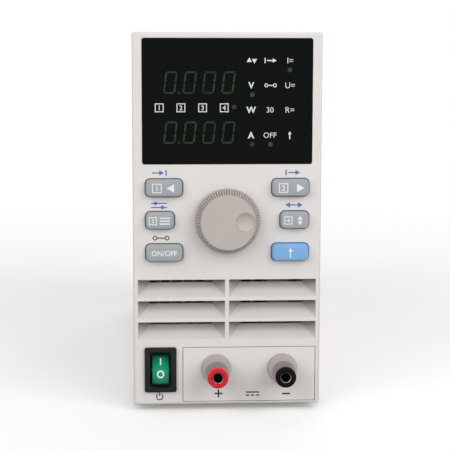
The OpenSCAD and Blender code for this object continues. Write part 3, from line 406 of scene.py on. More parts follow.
def clear_glass(name, colour):
    """Thin glass: mostly see-through, slightly uneven."""
    f = Finish(name)
    ripple = f.noise(2.0, 2.0)
    f.wear(Base_Color=colour, Roughness=0.04 + 0.05 * ripple, Alpha=0.5 + 0.1 * ripple)
    return f.bump(ripple, 0.02, 0.3)

# %% [markdown]
# Screen ink is nearly flat. The rocker and the digits have lamps behind them, so they give a little light
# of their own: enough to lift the colour, not enough to light what is beside them.

# %% Inks and lights
def lit_green(name, colour, core):
    """Tinted switch plastic with a lamp behind: brightest in the middle of the rocker."""
    f = Finish(name)
    low, high = face_box("power_rocker")
    across = (f.axis(0) - (low[0] + high[0]) / 2) * (2.0 / (high[0] - low[0]))
    up = (f.axis(2) - ((low[1] + high[1]) / 2 + BASE_Z / MM)) * (2.0 / (high[1] - low[1]))
    lit = (1.0 - (across * across * 0.6 + up * up)).at_least(0.0)
    haze = f.noise(2.5, 3.0)
    f.wear(Base_Color=f.mix(colour, core, lit * (0.75 + 0.25 * haze)))
    f.wear(Emission_Color=f.mix((0.0, 0.0, 0.0, 1.0), core, lit * lit), Emission_Strength=0.2)
    return f.wear(Roughness=0.34 + 0.14 * haze, Specular_IOR_Level=0.12)


def ink(name, colour, roughness=0.55):
    """Screen-printed ink: nearly flat, with the mesh of the screen just showing."""
    f = Finish(name)
    dots = f.noise(0.18, 2.0)
    f.wear(Base_Color=f.mix(shade(colour, 0.9), colour, dots), Roughness=roughness - 0.1 + 0.2 * dots)
    return f.bump(dots, 0.006, 0.5)


def glow(name, colour, core):
    """A dim light behind smoked plastic: the brightness wanders a little from one end to the other."""
    f = Finish(name)
    wander = f.noise(9.0, 2.0) * 2.6 - 0.8
    wander = wander.at_least(0.0).at_most(1.0)
    f.wear(Base_Color=f.mix(shade(colour, 0.7), colour, wander), Roughness=0.35 + 0.2 * wander)
    f.wear(Emission_Color=f.mix(shade(core, 0.25), core, wander), Emission_Strength=0.12)
    return f.wear(Specular_IOR_Level=0.06)

# %% [markdown]
# Now each finish is made once, by name. A name that the record knows as a material slot goes straight on
# the imported solids. The last few belong to this scene only.

# %% Finishes
FINISHES = {}


def finish(name, recipe, *values, **more):
    """Make a finish by its recipe and keep it under its name."""
    FINISHES[name] = recipe(name, *values, **more)


# The extra dark tints below are painted shade: under the louvre hoods, in the knob's ridges and the posts'
# knurls.
finish("bezel_plastic", moulded, tint(226, 222, 219), 0.62, dust=tint(62, 58, 55), settled=hood_shade)
finish("window_plastic", smoked_window, tint(9, 10, 10))
finish("key_rubber", silicone, tint(163, 167, 170))
finish("shift_rubber", silicone, tint(124, 176, 224))
finish("knob_plastic", moulded, tint(187, 179, 174), 0.5, 0.3, dust=tint(150, 141, 135))
finish("case_paint", powder_coat, tint(224, 220, 215))
finish("zinc_steel", metal, tint(196, 198, 202), 0.34, tarnish=tint(40, 40, 42))
finish("nickel", metal, tint(214, 212, 206), 0.2, tarnish=tint(24, 23, 22))
finish("copper", metal, tint(168, 166, 163), 0.4)
finish("brass_part", metal, tint(206, 176, 104), 0.28)
finish("aluminium_sink", metal, tint(176, 177, 180), 0.5, (14.0, 1.0, 14.0))
finish("rocker_green", lit_green, tint(3, 66, 50), tint(20, 148, 108))
finish("switch_black", moulded, tint(26, 27, 28), 0.4, 0.4, 0.006, Specular_IOR_Level=0.2)
finish("red_plastic", moulded, tint(220, 24, 36), 0.3, 0.5, 0.004, Specular_IOR_Level=0.25)
finish("black_plastic", moulded, tint(17, 16, 16), 0.5, 0.4, 0.01, Specular_IOR_Level=0.06)
finish("foot_rubber", moulded, tint(38, 38, 39), 0.72, 0.5, 0.03, 0.1)
finish("board_green", circuit_board, tint(22, 84, 48))
finish("digit_glass", smoked_window, tint(22, 30, 26))
finish("lamp_green", moulded, tint(60, 150, 84), 0.2, 0.8, 0.002)
finish("lamination", striped, tint(96, 97, 100), 0.5, 1, 0.45, 0.8)
finish("coil_tape", striped, tint(214, 182, 84), 6.0, 2)
finish("fuse_glass", clear_glass, tint(236, 242, 242))
finish("selector_red", moulded, tint(190, 36, 36), 0.4, 0.4, 0.006)
# Inks, lit marks and the posts' plastic are finishes of this scene.
finish("legend_white", ink, tint(236, 240, 242))
finish("label_white", ink, tint(222, 226, 226))
finish("caption_ink", ink, tint(102, 106, 176))
finish("black_ink", ink, tint(30, 29, 30))
finish("digit_glow", glow, tint(38, 56, 40), tint(50, 112, 62))
finish("lamp_glow", glow, tint(38, 70, 44), tint(60, 140, 76))
finish("lamp_dim", glow, tint(46, 54, 47), tint(52, 76, 58))
finish("post_plastic", moulded, tint(181, 173, 169), 0.5, 0.3, dust=tint(92, 84, 79))
for part in frame["record"]["subparts"]:
    slots = nodes[part["node"]].data.materials
    slots.clear()
    slots.append(FINISHES[part["material_slot"]].material)
print("finishes", len(FINISHES))

# %% [markdown]
# Real edges are never quite sharp: moulds and presses leave a small radius, and that radius is what
# catches the light. The solids come as loose triangles, so a Weld joins them before a Bevel rounds every
# edge that is sharper than the limit. Both are modifiers, so the meshes themselves stay as packed.

# %% Soft edges
EDGE_LIMIT = 38.0
WELD_GAP = 1e-6
EDGE_ROUND_MM = {
    "front_bezel": 0.12, "display_window": 0.2, "power_rocker": 0.4, "base_tray": 0.15, "rear_panel": 0.2,
    "rubber_feet": 0.6, "mains_inlet": 0.4, "fuse_drawer": 0.3, "voltage_selector": 0.3,
    "selector_slider": 0.2, "foot_screws": 0.15, "inlet_pins": 0.3, "post_insulators": 0.2,
    "fan_frame": 0.3, "fan_rotor": 0.25,
}


def soften(node, width_mm):
    """Weld, then a two-step Bevel of the given width."""
    weld = nodes[node].modifiers.new("weld", "WELD")
    weld.merge_threshold = WELD_GAP
    bevel = nodes[node].modifiers.new("soft_edges", "BEVEL")
    bevel.width = width_mm * MM
    bevel.segments = 2
    bevel.limit_method = "ANGLE"
    bevel.angle_limit = np.radians(EDGE_LIMIT)
    bevel.harden_normals = True


for soft_node, round_mm in EDGE_ROUND_MM.items():
    soften(soft_node, round_mm)
print("softened", len(EDGE_ROUND_MM), "solids")

# %% [markdown]
# Surfaces in numpy. Nearly every small part on this panel is a stack of closed outlines: a key cap is
# a stack of rounded rectangles, a knob or a post is a stack of circles. So one function skins any stack
# of rings, given as an array of rings by points by three. The stack is closed by a point at each end,
# or it joins up with itself, as the section of a washer does.

# %% Skin a stack of rings
def skin(rings, joined=False):
    """Quads between neighbouring rings. The ends close on their middles, or the last ring meets the first."""
    rows, count = rings.shape[:2]
    here = np.arange(count)
    after = (here + 1) % count
    pairs = rows if joined else rows - 1
    start = np.arange(pairs)[:, None] * count
    end = (np.arange(pairs)[:, None] + 1) % rows * count
    quads = np.stack([start + here, start + after, end + after, end + here], axis=-1).reshape(-1, 4)
    points = rings.reshape(-1, 3)
    faces = quads.tolist()
    if not joined:
        first = np.stack([np.full(count, rows * count), after, here], axis=-1)
        last = np.stack([np.full(count, rows * count + 1), here, after], axis=-1)
        last[:, 1:] += (rows - 1) * count
        faces += first.tolist() + last.tolist()
        points = np.concatenate([points, rings[[0, -1]].mean(axis=1)])
    return points, faces


def gather(parts):
    """Several (points, faces) as one."""
    points, faces, shift = [], [], 0
    for own_points, own_faces in parts:
        points.append(own_points)
        faces += [[corner + shift for corner in face] for face in own_faces]
        shift += len(own_points)
    return np.concatenate(points), faces


def piece(name, parts, slot, body, stands_for=(), crease=32.0, painted_shade=None):
    """A mesh of closed parts in a slot's finish, smooth below the crease angle, riding on a body."""
    points, faces = gather(parts)
    mesh = bpy.data.meshes.new(name)
    mesh.from_pydata(points.tolist(), [], faces)
    work = bmesh.new()
    work.from_mesh(mesh)
    bmesh.ops.recalc_face_normals(work, faces=work.faces)
    work.to_mesh(mesh)
    work.free()
    mesh.shade_smooth()
    mesh.set_sharp_from_angle(angle=np.radians(crease))
    # Painted shade per point, where given, is stored as an attribute that the finishes read.
    if painted_shade is not None:
        values = np.zeros(len(points))
        values[:painted_shade.size] = painted_shade.ravel()
        mesh.attributes.new("painted_shade", "FLOAT", "POINT").data.foreach_set("value", values)
    mesh.materials.append(FINISHES[slot].material)
    made = bpy.data.objects.new(name, mesh)
    bpy.context.scene.collection.objects.link(made)
    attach(made, body)
    if stands_for:
        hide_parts(*stands_for)
    print(name, len(mesh.vertices), "points on", body)
    return made


def circle(radius, count, middle=(0.0, 0.0)):
    """Points on a circle in the (x, h) plane."""
    angle = np.linspace(0.0, 2.0 * np.pi, count, endpoint=False)
    return np.stack([middle[0] + radius * np.cos(angle), middle[1] + radius * np.sin(angle)], axis=-1)


def rounded_box(width, height, radius, per_corner=12):
    """Points on a rectangle with round corners: four quarter circles whose ends the straight sides join."""
    quarter = np.linspace(0.0, np.pi / 2.0, per_corner)
    angle = (np.arange(4)[:, None] * np.pi / 2.0 + quarter).ravel()
    side = np.repeat([[1, 1], [-1, 1], [-1, -1], [1, -1]], per_corner, axis=0)
    middle = side * (np.array([width, height]) / 2.0 - radius)
    return middle + radius * np.stack([np.cos(angle), np.sin(angle)], axis=-1)


def lifted(outlines, lifts, middle=(0.0, 0.0)):
    """Stack (x, h) outlines at their lifts, moved to a middle, in metres."""
    outlines = np.asarray(outlines) + np.asarray(middle)
    return on_face(outlines[..., 0], outlines[..., 1], np.asarray(lifts)[:, None])


TURNED_POINTS = 96


def turned(profile, middle, joined=False):
    """A profile of (radius, lift) pairs carried round an axis that leaves the face at a middle."""
    profile = np.asarray(profile)
    rings = profile[:, 0, None, None] * circle(1.0, TURNED_POINTS)
    return skin(lifted(rings, profile[:, 1], middle), joined)


def arc(middle, radius, start, end, count=7):
    """Points on an arc from one angle to another, in degrees, for the corners of a profile."""
    angle = np.radians(np.linspace(start, end, count))
    return np.stack([middle[0] + radius * np.cos(angle), middle[1] + radius * np.sin(angle)], axis=-1)

# %% [markdown]
# The keys are silicone caps that a rubber mat pushes through the face. The cap's sides lean in a
# little, its front edge is well rounded and its top swells, so that each key catches a light line
# round its rim. Behind the face a rim keeps it in. The plunger behind that presses the mat.

# %% Keys
KEY_NODES = ["key_left", "key_right", "key_view", "key_mode", "key_on_off", "key_shift"]
KEY_RIM = 0.9
KEY_RIM_BACK = -3.5
KEY_RIM_FRONT = -2.52
KEY_STEP = 2.0
KEY_CORNER = 2.2
KEY_LEAN = 0.08
KEY_ROUND = 0.95
KEY_SWELL = 0.16


def key_size(node):
    """A key's middle, its cap's width and height, and how far it reaches behind and before the face."""
    low, high = face_box(node)
    width, height = high[:2] - low[:2] - 2 * KEY_RIM
    return (low[:2] + high[:2]) / 2, width, height, low[2], high[2]


def key_dome(node):
    """Lift of a cap's top at x, h: it falls with the fourth power of the distance from its middle."""
    middle, width, height, back, reach = key_size(node)
    half = np.array([width, height]) / 2 - KEY_LEAN - KEY_ROUND

    def lift(x, h):
        share = np.maximum(np.abs(x - middle[0]) / half[0], np.abs(h - middle[1]) / half[1])
        return reach - KEY_SWELL * share ** 4

    return lift


def key_cap(node):
    """Rounded rectangles from the plunger to the rounded edge, then shrinking rings on a shallow dome."""
    middle, width, height, back, reach = key_size(node)
    turn_in = np.radians(np.linspace(0.0, 90.0, 9))
    grow = [-KEY_STEP, -KEY_STEP, KEY_RIM, KEY_RIM, 0.0, 0.0]
    lifts = [back, KEY_RIM_BACK, KEY_RIM_BACK, KEY_RIM_FRONT, KEY_RIM_FRONT, 0.0]
    grow = np.concatenate([grow, -KEY_LEAN - KEY_ROUND * (1.0 - np.cos(turn_in))])
    lifts = np.concatenate([lifts, reach - KEY_SWELL - KEY_ROUND * (1.0 - np.sin(turn_in))])
    boxes = [rounded_box(width + 2 * g, height + 2 * g, max(0.4, KEY_CORNER + 0.7 * g)) for g in grow]
    share = np.linspace(0.94, 0.04, 12)
    boxes += [boxes[-1] * s for s in share]
    lifts = np.concatenate([lifts, reach - KEY_SWELL * share ** 4])
    slot = "shift_rubber" if node == "key_shift" else "key_rubber"
    piece(node + "_cap", [skin(lifted(boxes, lifts, middle))], slot, node, [node])


for key_node in KEY_NODES:
    key_cap(key_node)

# %% [markdown]
# The dial is a low knob. Its ridged rim stands off the face on a narrower base, slopes in towards the
# front and ends in a toothed line round the flat face. A finger dimple sits near the edge. The knob is
# a stack of circles whose radius dips between the ridges. The face is the same stack run inwards,
# pressed down by a ball at the dimple. How deep each point lies in a groove is kept as an attribute,
# so that the finish paints shade into the grooves; a thin ring of painted shade marks the dimple's rim.

# %% Dial
KNOB_RIDGES = 72
KNOB_GROOVE = 0.6
KNOB_RISE = 2.4
KNOB_BASE_IN = 1.8
KNOB_FACE_R = 13.2
KNOB_EDGE = 0.5
KNOB_BORE_R = 3.02
KNOB_BORE_END = 7.6
KNOB_NECK_R = 4.5
KNOB_NECK_END = 4.1
KNOB_HUB_R = 6.5
KNOB_SKIRT_R = 11.0
KNOB_HOLLOW_END = 5.0
KNOB_FACE_RINGS = 56
AXIS_R = 0.01
POINTS_PER_RIDGE = 8
DIMPLE_X = 8.0
DIMPLE_R = 4.4
DIMPLE_BALL = 7.0
DIMPLE_SOFT = 0.025
DIMPLE_LINE = 0.24


def grooved(radii, weight, ridges, depth, narrow=1.0):
    """The x, h and dip of rings whose radius is radius - depth * dip.

    dip = weight * (1 - |cos(ridges * angle / 2)|) ** narrow
    """
    angle = np.linspace(0.0, 2.0 * np.pi, ridges * POINTS_PER_RIDGE, endpoint=False)
    dip = np.asarray(weight)[:, None] * (1.0 - np.abs(np.cos(ridges * angle / 2.0))) ** narrow
    radius = np.asarray(radii)[:, None] - depth * dip
    return radius * np.cos(angle), radius * np.sin(angle), dip


def dial_profile(back, front, rim_r):
    """Rings of (radius, lift, groove weight): hollow back, base, ridged slope, toothed edge, flat face."""
    base_r = rim_r - KNOB_BASE_IN
    rim = back + KNOB_RISE
    bore = [(AXIS_R, KNOB_BORE_END), (KNOB_BORE_R, KNOB_BORE_END), (KNOB_BORE_R, KNOB_NECK_END)]
    neck = [(KNOB_NECK_R, KNOB_NECK_END), (KNOB_NECK_R, back), (KNOB_HUB_R, back)]
    hollow = [*bore, *neck, (KNOB_HUB_R, KNOB_HOLLOW_END), (KNOB_SKIRT_R, KNOB_HOLLOW_END)]
    base = [(KNOB_SKIRT_R, back), (base_r - 0.2, back), (base_r, back + 0.2), (base_r, rim)]
    rows = [(radius, lift, 0.0) for radius, lift in hollow + base]
    rows += [(rim_r - 0.2, rim, 0.9), (rim_r, rim + 0.2, 1.0)]
    slope = np.linspace((rim_r, rim + 0.2, 1.0), (KNOB_FACE_R, front - KNOB_EDGE, 1.0), 12)[1:]
    edge = arc((KNOB_FACE_R - KNOB_EDGE, front - KNOB_EDGE), KNOB_EDGE, 15.0, 90.0)
    edge = np.column_stack([edge, np.linspace(0.95, 0.4, len(edge))])
    inner_r = KNOB_FACE_R - KNOB_EDGE - KNOB_GROOVE * 0.5
    face = np.linspace((inner_r, front, 0.0), (0.05, front, 0.0), KNOB_FACE_RINGS)
    return np.concatenate([rows, slope, edge, face])


def dial_knob():
    """The stack of grooved rings. Its face is the smooth minimum of the flat and the dimple's ball."""
    low, high = face_box("encoder_knob")
    middle = (low[:2] + high[:2]) / 2
    front = high[2]
    radii, lifts, weight = dial_profile(low[2], front, (high[0] - low[0]) / 2).T
    x, h, dip = grooved(radii, weight, KNOB_RIDGES, KNOB_GROOVE)
    off = np.hypot(x - DIMPLE_X, h)
    ball_lift = front + np.sqrt(DIMPLE_BALL ** 2 - DIMPLE_R ** 2)
    ball = ball_lift - np.sqrt(np.maximum(DIMPLE_BALL ** 2 - off ** 2, 0.0))
    flat = np.broadcast_to(lifts[:, None], x.shape)
    pressed = -DIMPLE_SOFT * np.logaddexp(-flat / DIMPLE_SOFT, -ball / DIMPLE_SOFT)
    lift = np.where((flat >= front) & (off < DIMPLE_R + 1.0), np.minimum(pressed, flat), flat)
    rings = on_face(middle[0] + x, middle[1] + h, lift)
    # A thin ring of painted shade at the dimple's rim, where its edge throws shade.
    dimple_line = 0.6 * np.exp(-((off - DIMPLE_R) / DIMPLE_LINE) ** 2) * (flat >= front)
    piece("dial_knob", [skin(rings)], "knob_plastic", "dial", ["encoder_knob"], crease=50.0,
          painted_shade=np.maximum(dip, dimple_line))


dial_knob()

# %% [markdown]
# The two posts. Each cap is a smooth cone that runs out into a knurled grip, and a coloured ring ends
# it. The knurls are cut like the knob's ridges, only finer, and their grooves get painted shade. The
# plated stud stays still while the cap unscrews, so it is its own piece: a tube with a countersunk mouth.
# Little light reaches the bottom of a plug socket, so the bore carries the same painted shade as the
# grooves and is dark.

# %% Posts
KNURLS = 44
KNURL_GROOVE = 0.5
KNURL_NARROW = 0.85
# How strongly painted shade darkens the knurl grooves.
KNURL_SHADE = 0.8
GRIP_LENGTH = 8.0
GRIP_R = 5.75
GRIP_TIP_R = 5.05
CAP_BORE_R = 2.5
RING_ROUND = 0.5
RING_LIP = 0.3
RING_BORE_R = 2.75
SOCKET_R = 2.0
SOCKET_DEPTH = 14.0


def post_cap(sign):
    """Rings of (radius, lift, groove weight): heel, smooth cone, knurled grip and toe, joined by the bore."""
    low, high = face_box(sign + "_cap")
    back, front = low[2], high[2]
    flange_r = (high[0] - low[0]) / 2
    grip = front - GRIP_LENGTH
    heel = [(CAP_BORE_R, back, 0.0), (flange_r - 0.25, back, 0.0), (flange_r, back + 0.25, 0.0)]
    slope = np.linspace((flange_r - 0.1, back + 0.6, 0.0), (GRIP_R, grip, 0.0), 9)
    knurled = np.linspace((GRIP_R, grip + 0.2, 1.0), (GRIP_TIP_R, front - 0.2, 1.0), 14)
    toe = [(GRIP_TIP_R - 0.3, front, 0.5), (CAP_BORE_R, front, 0.0)]
    radii, lifts, weight = np.concatenate([heel, slope, knurled, toe]).T
    x, h, dip = grooved(radii, weight, KNURLS, KNURL_GROOVE, KNURL_NARROW)
    middle = (low[:2] + high[:2]) / 2
    rings = on_face(middle[0] + x, middle[1] + h, lifts[:, None])
    piece(sign + "_post_cap", [skin(rings, joined=True)], "post_plastic", sign + "_cap_assembly",
          [sign + "_cap"], crease=45.0, painted_shade=KNURL_SHADE * dip)
    return middle


def post_ring(sign, slot, middle):
    """The coloured end ring: a square section, round at its outer shoulder and at the lip of its bore."""
    low, high = face_box(sign + "_tip_ring")
    back, front = low[2], high[2]
    outer = (high[0] - low[0]) / 2
    shoulder = arc((outer - RING_ROUND, front - RING_ROUND), RING_ROUND, 0.0, 90.0)
    lip = arc((RING_BORE_R + RING_LIP, front - RING_LIP), RING_LIP, 90.0, 180.0)
    section = np.concatenate([[(RING_BORE_R, back), (outer, back)], shoulder, lip])
    piece(sign + "_ring", [turned(section, middle, joined=True)], slot, sign + "_cap_assembly",
          [sign + "_tip_ring"])


def post_socket(sign, middle):
    """The stud as a turned profile from the bore's floor out over the mouth and down the outside."""
    low, high = face_box(sign + "_stud")
    back, front = low[2], high[2]
    outer = (high[0] - low[0]) / 2
    bore = [(AXIS_R, front - SOCKET_DEPTH), (SOCKET_R, front - SOCKET_DEPTH), (SOCKET_R, front - 0.6)]
    rest = [(SOCKET_R + 0.22, front - 0.1), (outer - 0.1, front), (outer, front - 0.1), (outer, back + 0.4),
            (outer - 0.4, back), (AXIS_R, back)]
    dark = np.repeat([[1.0]] * len(bore) + [[0.0]] * len(rest), TURNED_POINTS, axis=1)
    piece(sign + "_socket", [turned(bore + rest, middle)], "nickel", "case", [sign + "_stud"], painted_shade=dark)


for post_sign, ring_slot in [("positive", "red_plastic"), ("negative", "black_plastic")]:
    post_middle = post_cap(post_sign)
    post_ring(post_sign, ring_slot, post_middle)
    post_socket(post_sign, post_middle)

# %% [markdown]
# The switch's frame. It snaps into the face from the front: a body behind, a flange with a round outer
# edge, and a sloped lip that leads down to the well of the rocker. All of it is a stack of rounded
# rectangles again, run from the back of the body over the flange and down into the well.

# %% Switch frame
SWITCH_LIP = 1.7
SWITCH_EDGE = 0.5
ROCKER_PIN = 1.3
ROCKER_GAP = 0.2
WELL_LIP = np.array([0.9, 1.2])
WELL_LIP_DEPTH = 1.3
WELL_FLOOR = -7.9


def switch_frame():
    """Rows of (width, height, corner, lift): body, flange, round edge, sloped lip, well."""
    low, high = face_box("rocker_switch_housing")
    rocker_low, rocker_high = face_box("power_rocker")
    size = high[:2] - low[:2]
    back, front = low[2], high[2]
    body = size - 2 * SWITCH_LIP
    well = rocker_high[:2] - rocker_low[:2] + 2 * (ROCKER_GAP - np.array([ROCKER_PIN, 0.0]))
    rim = well + 2 * WELL_LIP
    round_in = np.radians(np.linspace(0.0, 90.0, 7))
    rows = [(*body, 0.5, back), (*body, 0.5, 0.0), (*size, 1.0, 0.0)]
    rows += [(*(size - 2 * SWITCH_EDGE * (1.0 - c)), 1.0, front - SWITCH_EDGE * (1.0 - s))
             for c, s in zip(np.cos(round_in), np.sin(round_in))]
    rows += [(*(rim + 0.3), 0.9, front), (*rim, 0.8, front - 0.1), (*well, 0.4, front - WELL_LIP_DEPTH)]
    rows += [(*well, 0.4, WELL_FLOOR)]
    outlines = [rounded_box(width, height, corner) for width, height, corner, lift in rows]
    rings = lifted(outlines, [row[3] for row in rows], (low[:2] + high[:2]) / 2)
    piece("switch_frame", [skin(rings)], "switch_black", "case", ["rocker_switch_housing"])


switch_frame()

# %% [markdown]
# The screws that show have domed, slotted heads. Their places and sizes are measured on the packed
# solids, so nothing has to be typed twice: points that lie close together are one screw, and the widest
# ones belong to its head. Each ring has points on both edges of the slot, which then drop to its floor.

# %% Screws
SCREW_NODES = {"rear_panel_screws": 15.0, "inlet_screws": 15.0, "cover_screws": 15.0, "fan_screws": 40.0}
SLOT_HALF = 0.35
SLOT_POINTS = 5
HEAD_POINTS = 24


def apart(points, reach):
    """Split points into groups that lie within reach of their first point."""
    near = np.linalg.norm(points[:, None] - points[None], axis=-1) < reach
    first = near.argmax(axis=1)
    return [points[first == index] for index in np.unique(first)]


def slotted_ring(radius):
    """Angles round each ring, closer in the slot, and whether a point lies in the slot."""
    edge = np.arcsin(SLOT_HALF / np.maximum(radius, SLOT_HALF))[:, None]
    within = edge * np.linspace(-0.9, 0.9, SLOT_POINTS)
    beside = edge + (np.pi - 2 * edge) * np.linspace(0.0, 1.0, HEAD_POINTS)
    angle = np.concatenate([within, beside, within + np.pi, beside + np.pi], axis=1)
    in_slot = np.tile(np.repeat([True, False], [SLOT_POINTS, HEAD_POINTS]), 2)
    return angle, np.broadcast_to(in_slot, angle.shape)


def screw(points, out):
    """Rings of (radius, level) along the outward axis: tip, shank, underside, rim and dome, slotted."""
    middle = (points.min(axis=0) + points.max(axis=0)) / 2
    level = (points - middle) @ out
    radius = np.linalg.norm(points - middle - level[:, None] * out, axis=1)
    head_r = radius.max()
    under = level[radius > 0.9 * head_r].min()
    top = level.max()
    shank_r = radius[level < under - WELD_GAP].max()
    thick = top - under
    rise = np.radians(np.linspace(0.0, 84.0, 12))
    rim = under + 0.4 * thick
    inner_r = 1.1 * SLOT_HALF
    head = [(head_r * np.cos(r), rim + 0.6 * thick * np.sin(r)) for r in rise]
    tip = level.min()
    rows = [(0.6 * shank_r, tip), (shank_r, tip + 0.3), (shank_r, under), (head_r - 0.1, under)]
    rows += [(head_r, under + 0.1), *[row for row in head if row[0] > inner_r], (inner_r, top)]
    radii, levels = np.array(rows).T
    angle, in_slot = slotted_ring(radii)
    floor = top - 0.5 * thick
    height = np.where(in_slot, np.minimum(levels[:, None], floor), levels[:, None])
    ring_r = np.broadcast_to(radii[:, None], angle.shape)
    ring_r, angle, height = [np.concatenate([a, a[-1:]]) for a in (ring_r, angle, height)]
    height[-1] = floor
    side = np.array([1.0, 0.0, 0.0]) if abs(out[0]) < 0.5 else np.array([0.0, 1.0, 0.0])
    along = (ring_r * np.cos(angle))[..., None] * side
    across = (ring_r * np.sin(angle))[..., None] * np.cross(out, side)
    # The slot's walls and floor are marked for painted shade.
    dark = np.concatenate([in_slot & (levels[:, None] > floor), np.ones_like(in_slot[-1:])])
    closed = np.append(dark.ravel(), [False, True])
    return skin((middle + along + across + out * height[..., None]) * MM), closed.astype(float)


def screws(node, reach):
    """Every screw of a node as one piece; heads face back, or outwards at the case's sides."""
    flat = np.empty(3 * len(nodes[node].data.vertices))
    nodes[node].data.vertices.foreach_get("co", flat)
    made = []
    for points in apart(flat.reshape(-1, 3) / MM, reach):
        sideways = np.array([np.sign(points[:, 0].mean()), 0.0, 0.0])
        made.append(screw(points, sideways if node == "cover_screws" else np.array([0.0, 1.0, 0.0])))
    piece(node + "_slotted", [shape for shape, dark in made], "zinc_steel", "case", [node],
          painted_shade=np.concatenate([dark for shape, dark in made]))


for screw_node, screw_reach in SCREW_NODES.items():
    screws(screw_node, screw_reach)

# %% [markdown]
# The printing. Screen ink is a film a few hundredths of a millimetre thick, and here it is exactly
# that: thin closed solids laid on the surface that carries them, so that the marks stay crisp in any
# view and ride with their key. The marks are plain signs: digits, units, arrows and bars. Each shape is
# drawn flat as (x, h, thickness) with thickness from 0 to 1, and is laid down last.

# %% Flat shapes
INK_MM = 0.06
INK_SUNK_MM = 0.02


def slab(outline):
    """A convex outline given one unit of thickness."""
    outline = np.asarray(outline, dtype=float)
    return skin(np.stack([np.insert(outline, 2, level, axis=1) for level in (0.0, 1.0)]))


def band(outer, inner):
    """The space between two outlines with the same number of points, one unit thick."""
    sides = [(outer, 0.0), (outer, 1.0), (inner, 1.0), (inner, 0.0)]
    return skin(np.stack([np.insert(outline, 2, level, axis=1) for outline, level in sides]), joined=True)


def bar(x, h, width, height):
    across = np.array([[-1, -1], [1, -1], [1, 1], [-1, 1]]) * np.array([width, height]) / 2
    return slab(across + np.array([x, h]))


def triangle(x, h, size, heading):
    """An even-sided pointer; heading is in degrees, 0 to the right and 90 up."""
    angle = np.radians(heading + np.array([0.0, 120.0, 240.0]))
    return slab(np.column_stack([x + size * np.cos(angle), h + size * np.sin(angle)]))


def dot(x, h, radius):
    return slab(circle(radius, 24, (x, h)))


def ring(x, h, radius, line):
    return band(circle(radius, 32, (x, h)), circle(radius - line, 32, (x, h)))


def box(x, h, side, line):
    corners = np.array([[-1, -1], [1, -1], [1, 1], [-1, 1]]) / 2
    place = np.array([x, h])
    return band(corners * side + place, corners * (side - 2 * line) + place)


def bow(x, h, radius, line, start, end):
    """An arc of a ring: a rectangle carried from one angle to another, in degrees."""
    angle = np.radians(np.linspace(start, end, 24))
    sides = [(radius - line, 0.0), (radius, 0.0), (radius, 1.0), (radius - line, 1.0)]
    across, up = np.cos(angle), np.sin(angle)
    rails = [np.column_stack([x + r * across, h + r * up, np.full_like(angle, z)]) for r, z in sides]
    return skin(np.stack(rails, axis=1))

# %% [markdown]
# Letters come from Blender's own font as a curve with thickness. A curve isn't a mesh, so each word is
# turned into points and faces at once, its doubles are merged so that it closes, and the curve is removed.
# Laying a shape down then means one thing for bars and letters alike: its thickness becomes ink.

# %% Letters, and laying the ink
def letters(text, x, h, height, bold=0.0):
    """Text as closed solids, its box's middle at (x, h) and its height as given; bold swells the strokes."""
    curve = bpy.data.curves.new("letters", "FONT")
    curve.body = text
    curve.extrude = 0.5
    curve.offset = bold
    curve.resolution_u = 4
    holder = bpy.data.objects.new("letters", curve)
    bpy.context.scene.collection.objects.link(holder)
    drawn = holder.evaluated_get(bpy.context.evaluated_depsgraph_get())
    work = bmesh.new()
    work.from_mesh(drawn.to_mesh())
    bmesh.ops.remove_doubles(work, verts=work.verts, dist=1e-5)
    work.verts.index_update()
    points = np.array([v.co for v in work.verts])
    faces = [[v.index for v in f.verts] for f in work.faces]
    work.free()
    bpy.data.objects.remove(holder)
    bpy.data.curves.remove(curve)
    low, high = points.min(axis=0), points.max(axis=0)
    scale = height / (high[1] - low[1])
    points = (points - (low + high) / 2) * np.array([scale, scale, 1.0]) + np.array([x, h, 0.5])
    return points, faces


def laid(shapes, lift):
    """Shapes put down as ink on a surface whose lift is a number or a function of x and h."""
    points, faces = gather(shapes)
    x, h, level = points.T
    surface = lift(x, h) if callable(lift) else lift
    return on_face(x, h, surface - INK_SUNK_MM + (INK_MM + INK_SUNK_MM) * level), faces


def printed(name, shapes, slot, body, lift=0.0):
    piece(name, [laid(shapes, lift)], slot, body)

# %% [markdown]
# The legends on the keys are white. Silicone keys are printed after moulding, so the ink follows the
# swell of each cap: the flat drawing keeps its x and h, and takes its lift from the dome's own formula.

# %% Key legends
def arrow(x, h, length, heading):
    """A shaft with a pointer at its end, level or upright."""
    way = np.array([np.cos(np.radians(heading)), np.sin(np.radians(heading))])
    shaft = np.array([x, h]) - way * length * 0.2
    tip = np.array([x, h]) + way * length * 0.24
    size = np.abs(way) * (length * 0.6 - 0.55) + 0.55
    return [bar(*shaft, *size), triangle(*tip, length * 0.27, heading)]


def boxed(x, h, digit, side=4.4):
    return [box(x, h, side, 0.42), letters(digit, x, h, side * 0.55, 0.012)]


def key_legend(node, shapes):
    """Ink that follows the key's dome, centred on the key."""
    low, high = face_box(node)
    middle = (low[:2] + high[:2]) / 2
    points, faces = gather(shapes)
    points = points + np.append(middle, 0.0)
    printed(node + "_legend", [(points, faces)], "legend_white", node, key_dome(node))


key_legend("key_left", boxed(-3.3, 0.0, "1") + [triangle(3.5, 0.0, 2.3, 180.0)])
key_legend("key_right", boxed(-3.5, 0.0, "2") + [triangle(3.9, 0.0, 2.3, 0.0)])
key_legend("key_view", boxed(-3.3, 0.0, "3", 3.8) + [bar(2.2, h, 4.6, 0.62) for h in (-1.35, 0.0, 1.35)])
key_legend("key_mode", boxed(-3.1, 0.0, "4", 3.8)
           + [triangle(2.4, 0.95, 1.35, 90.0), triangle(2.4, -0.95, 1.35, 270.0)])
key_legend("key_on_off", [letters("ON/OFF", 0.0, 0.0, 2.4, 0.014)])
key_legend("key_shift", arrow(0.0, 0.0, 4.6, 90.0))

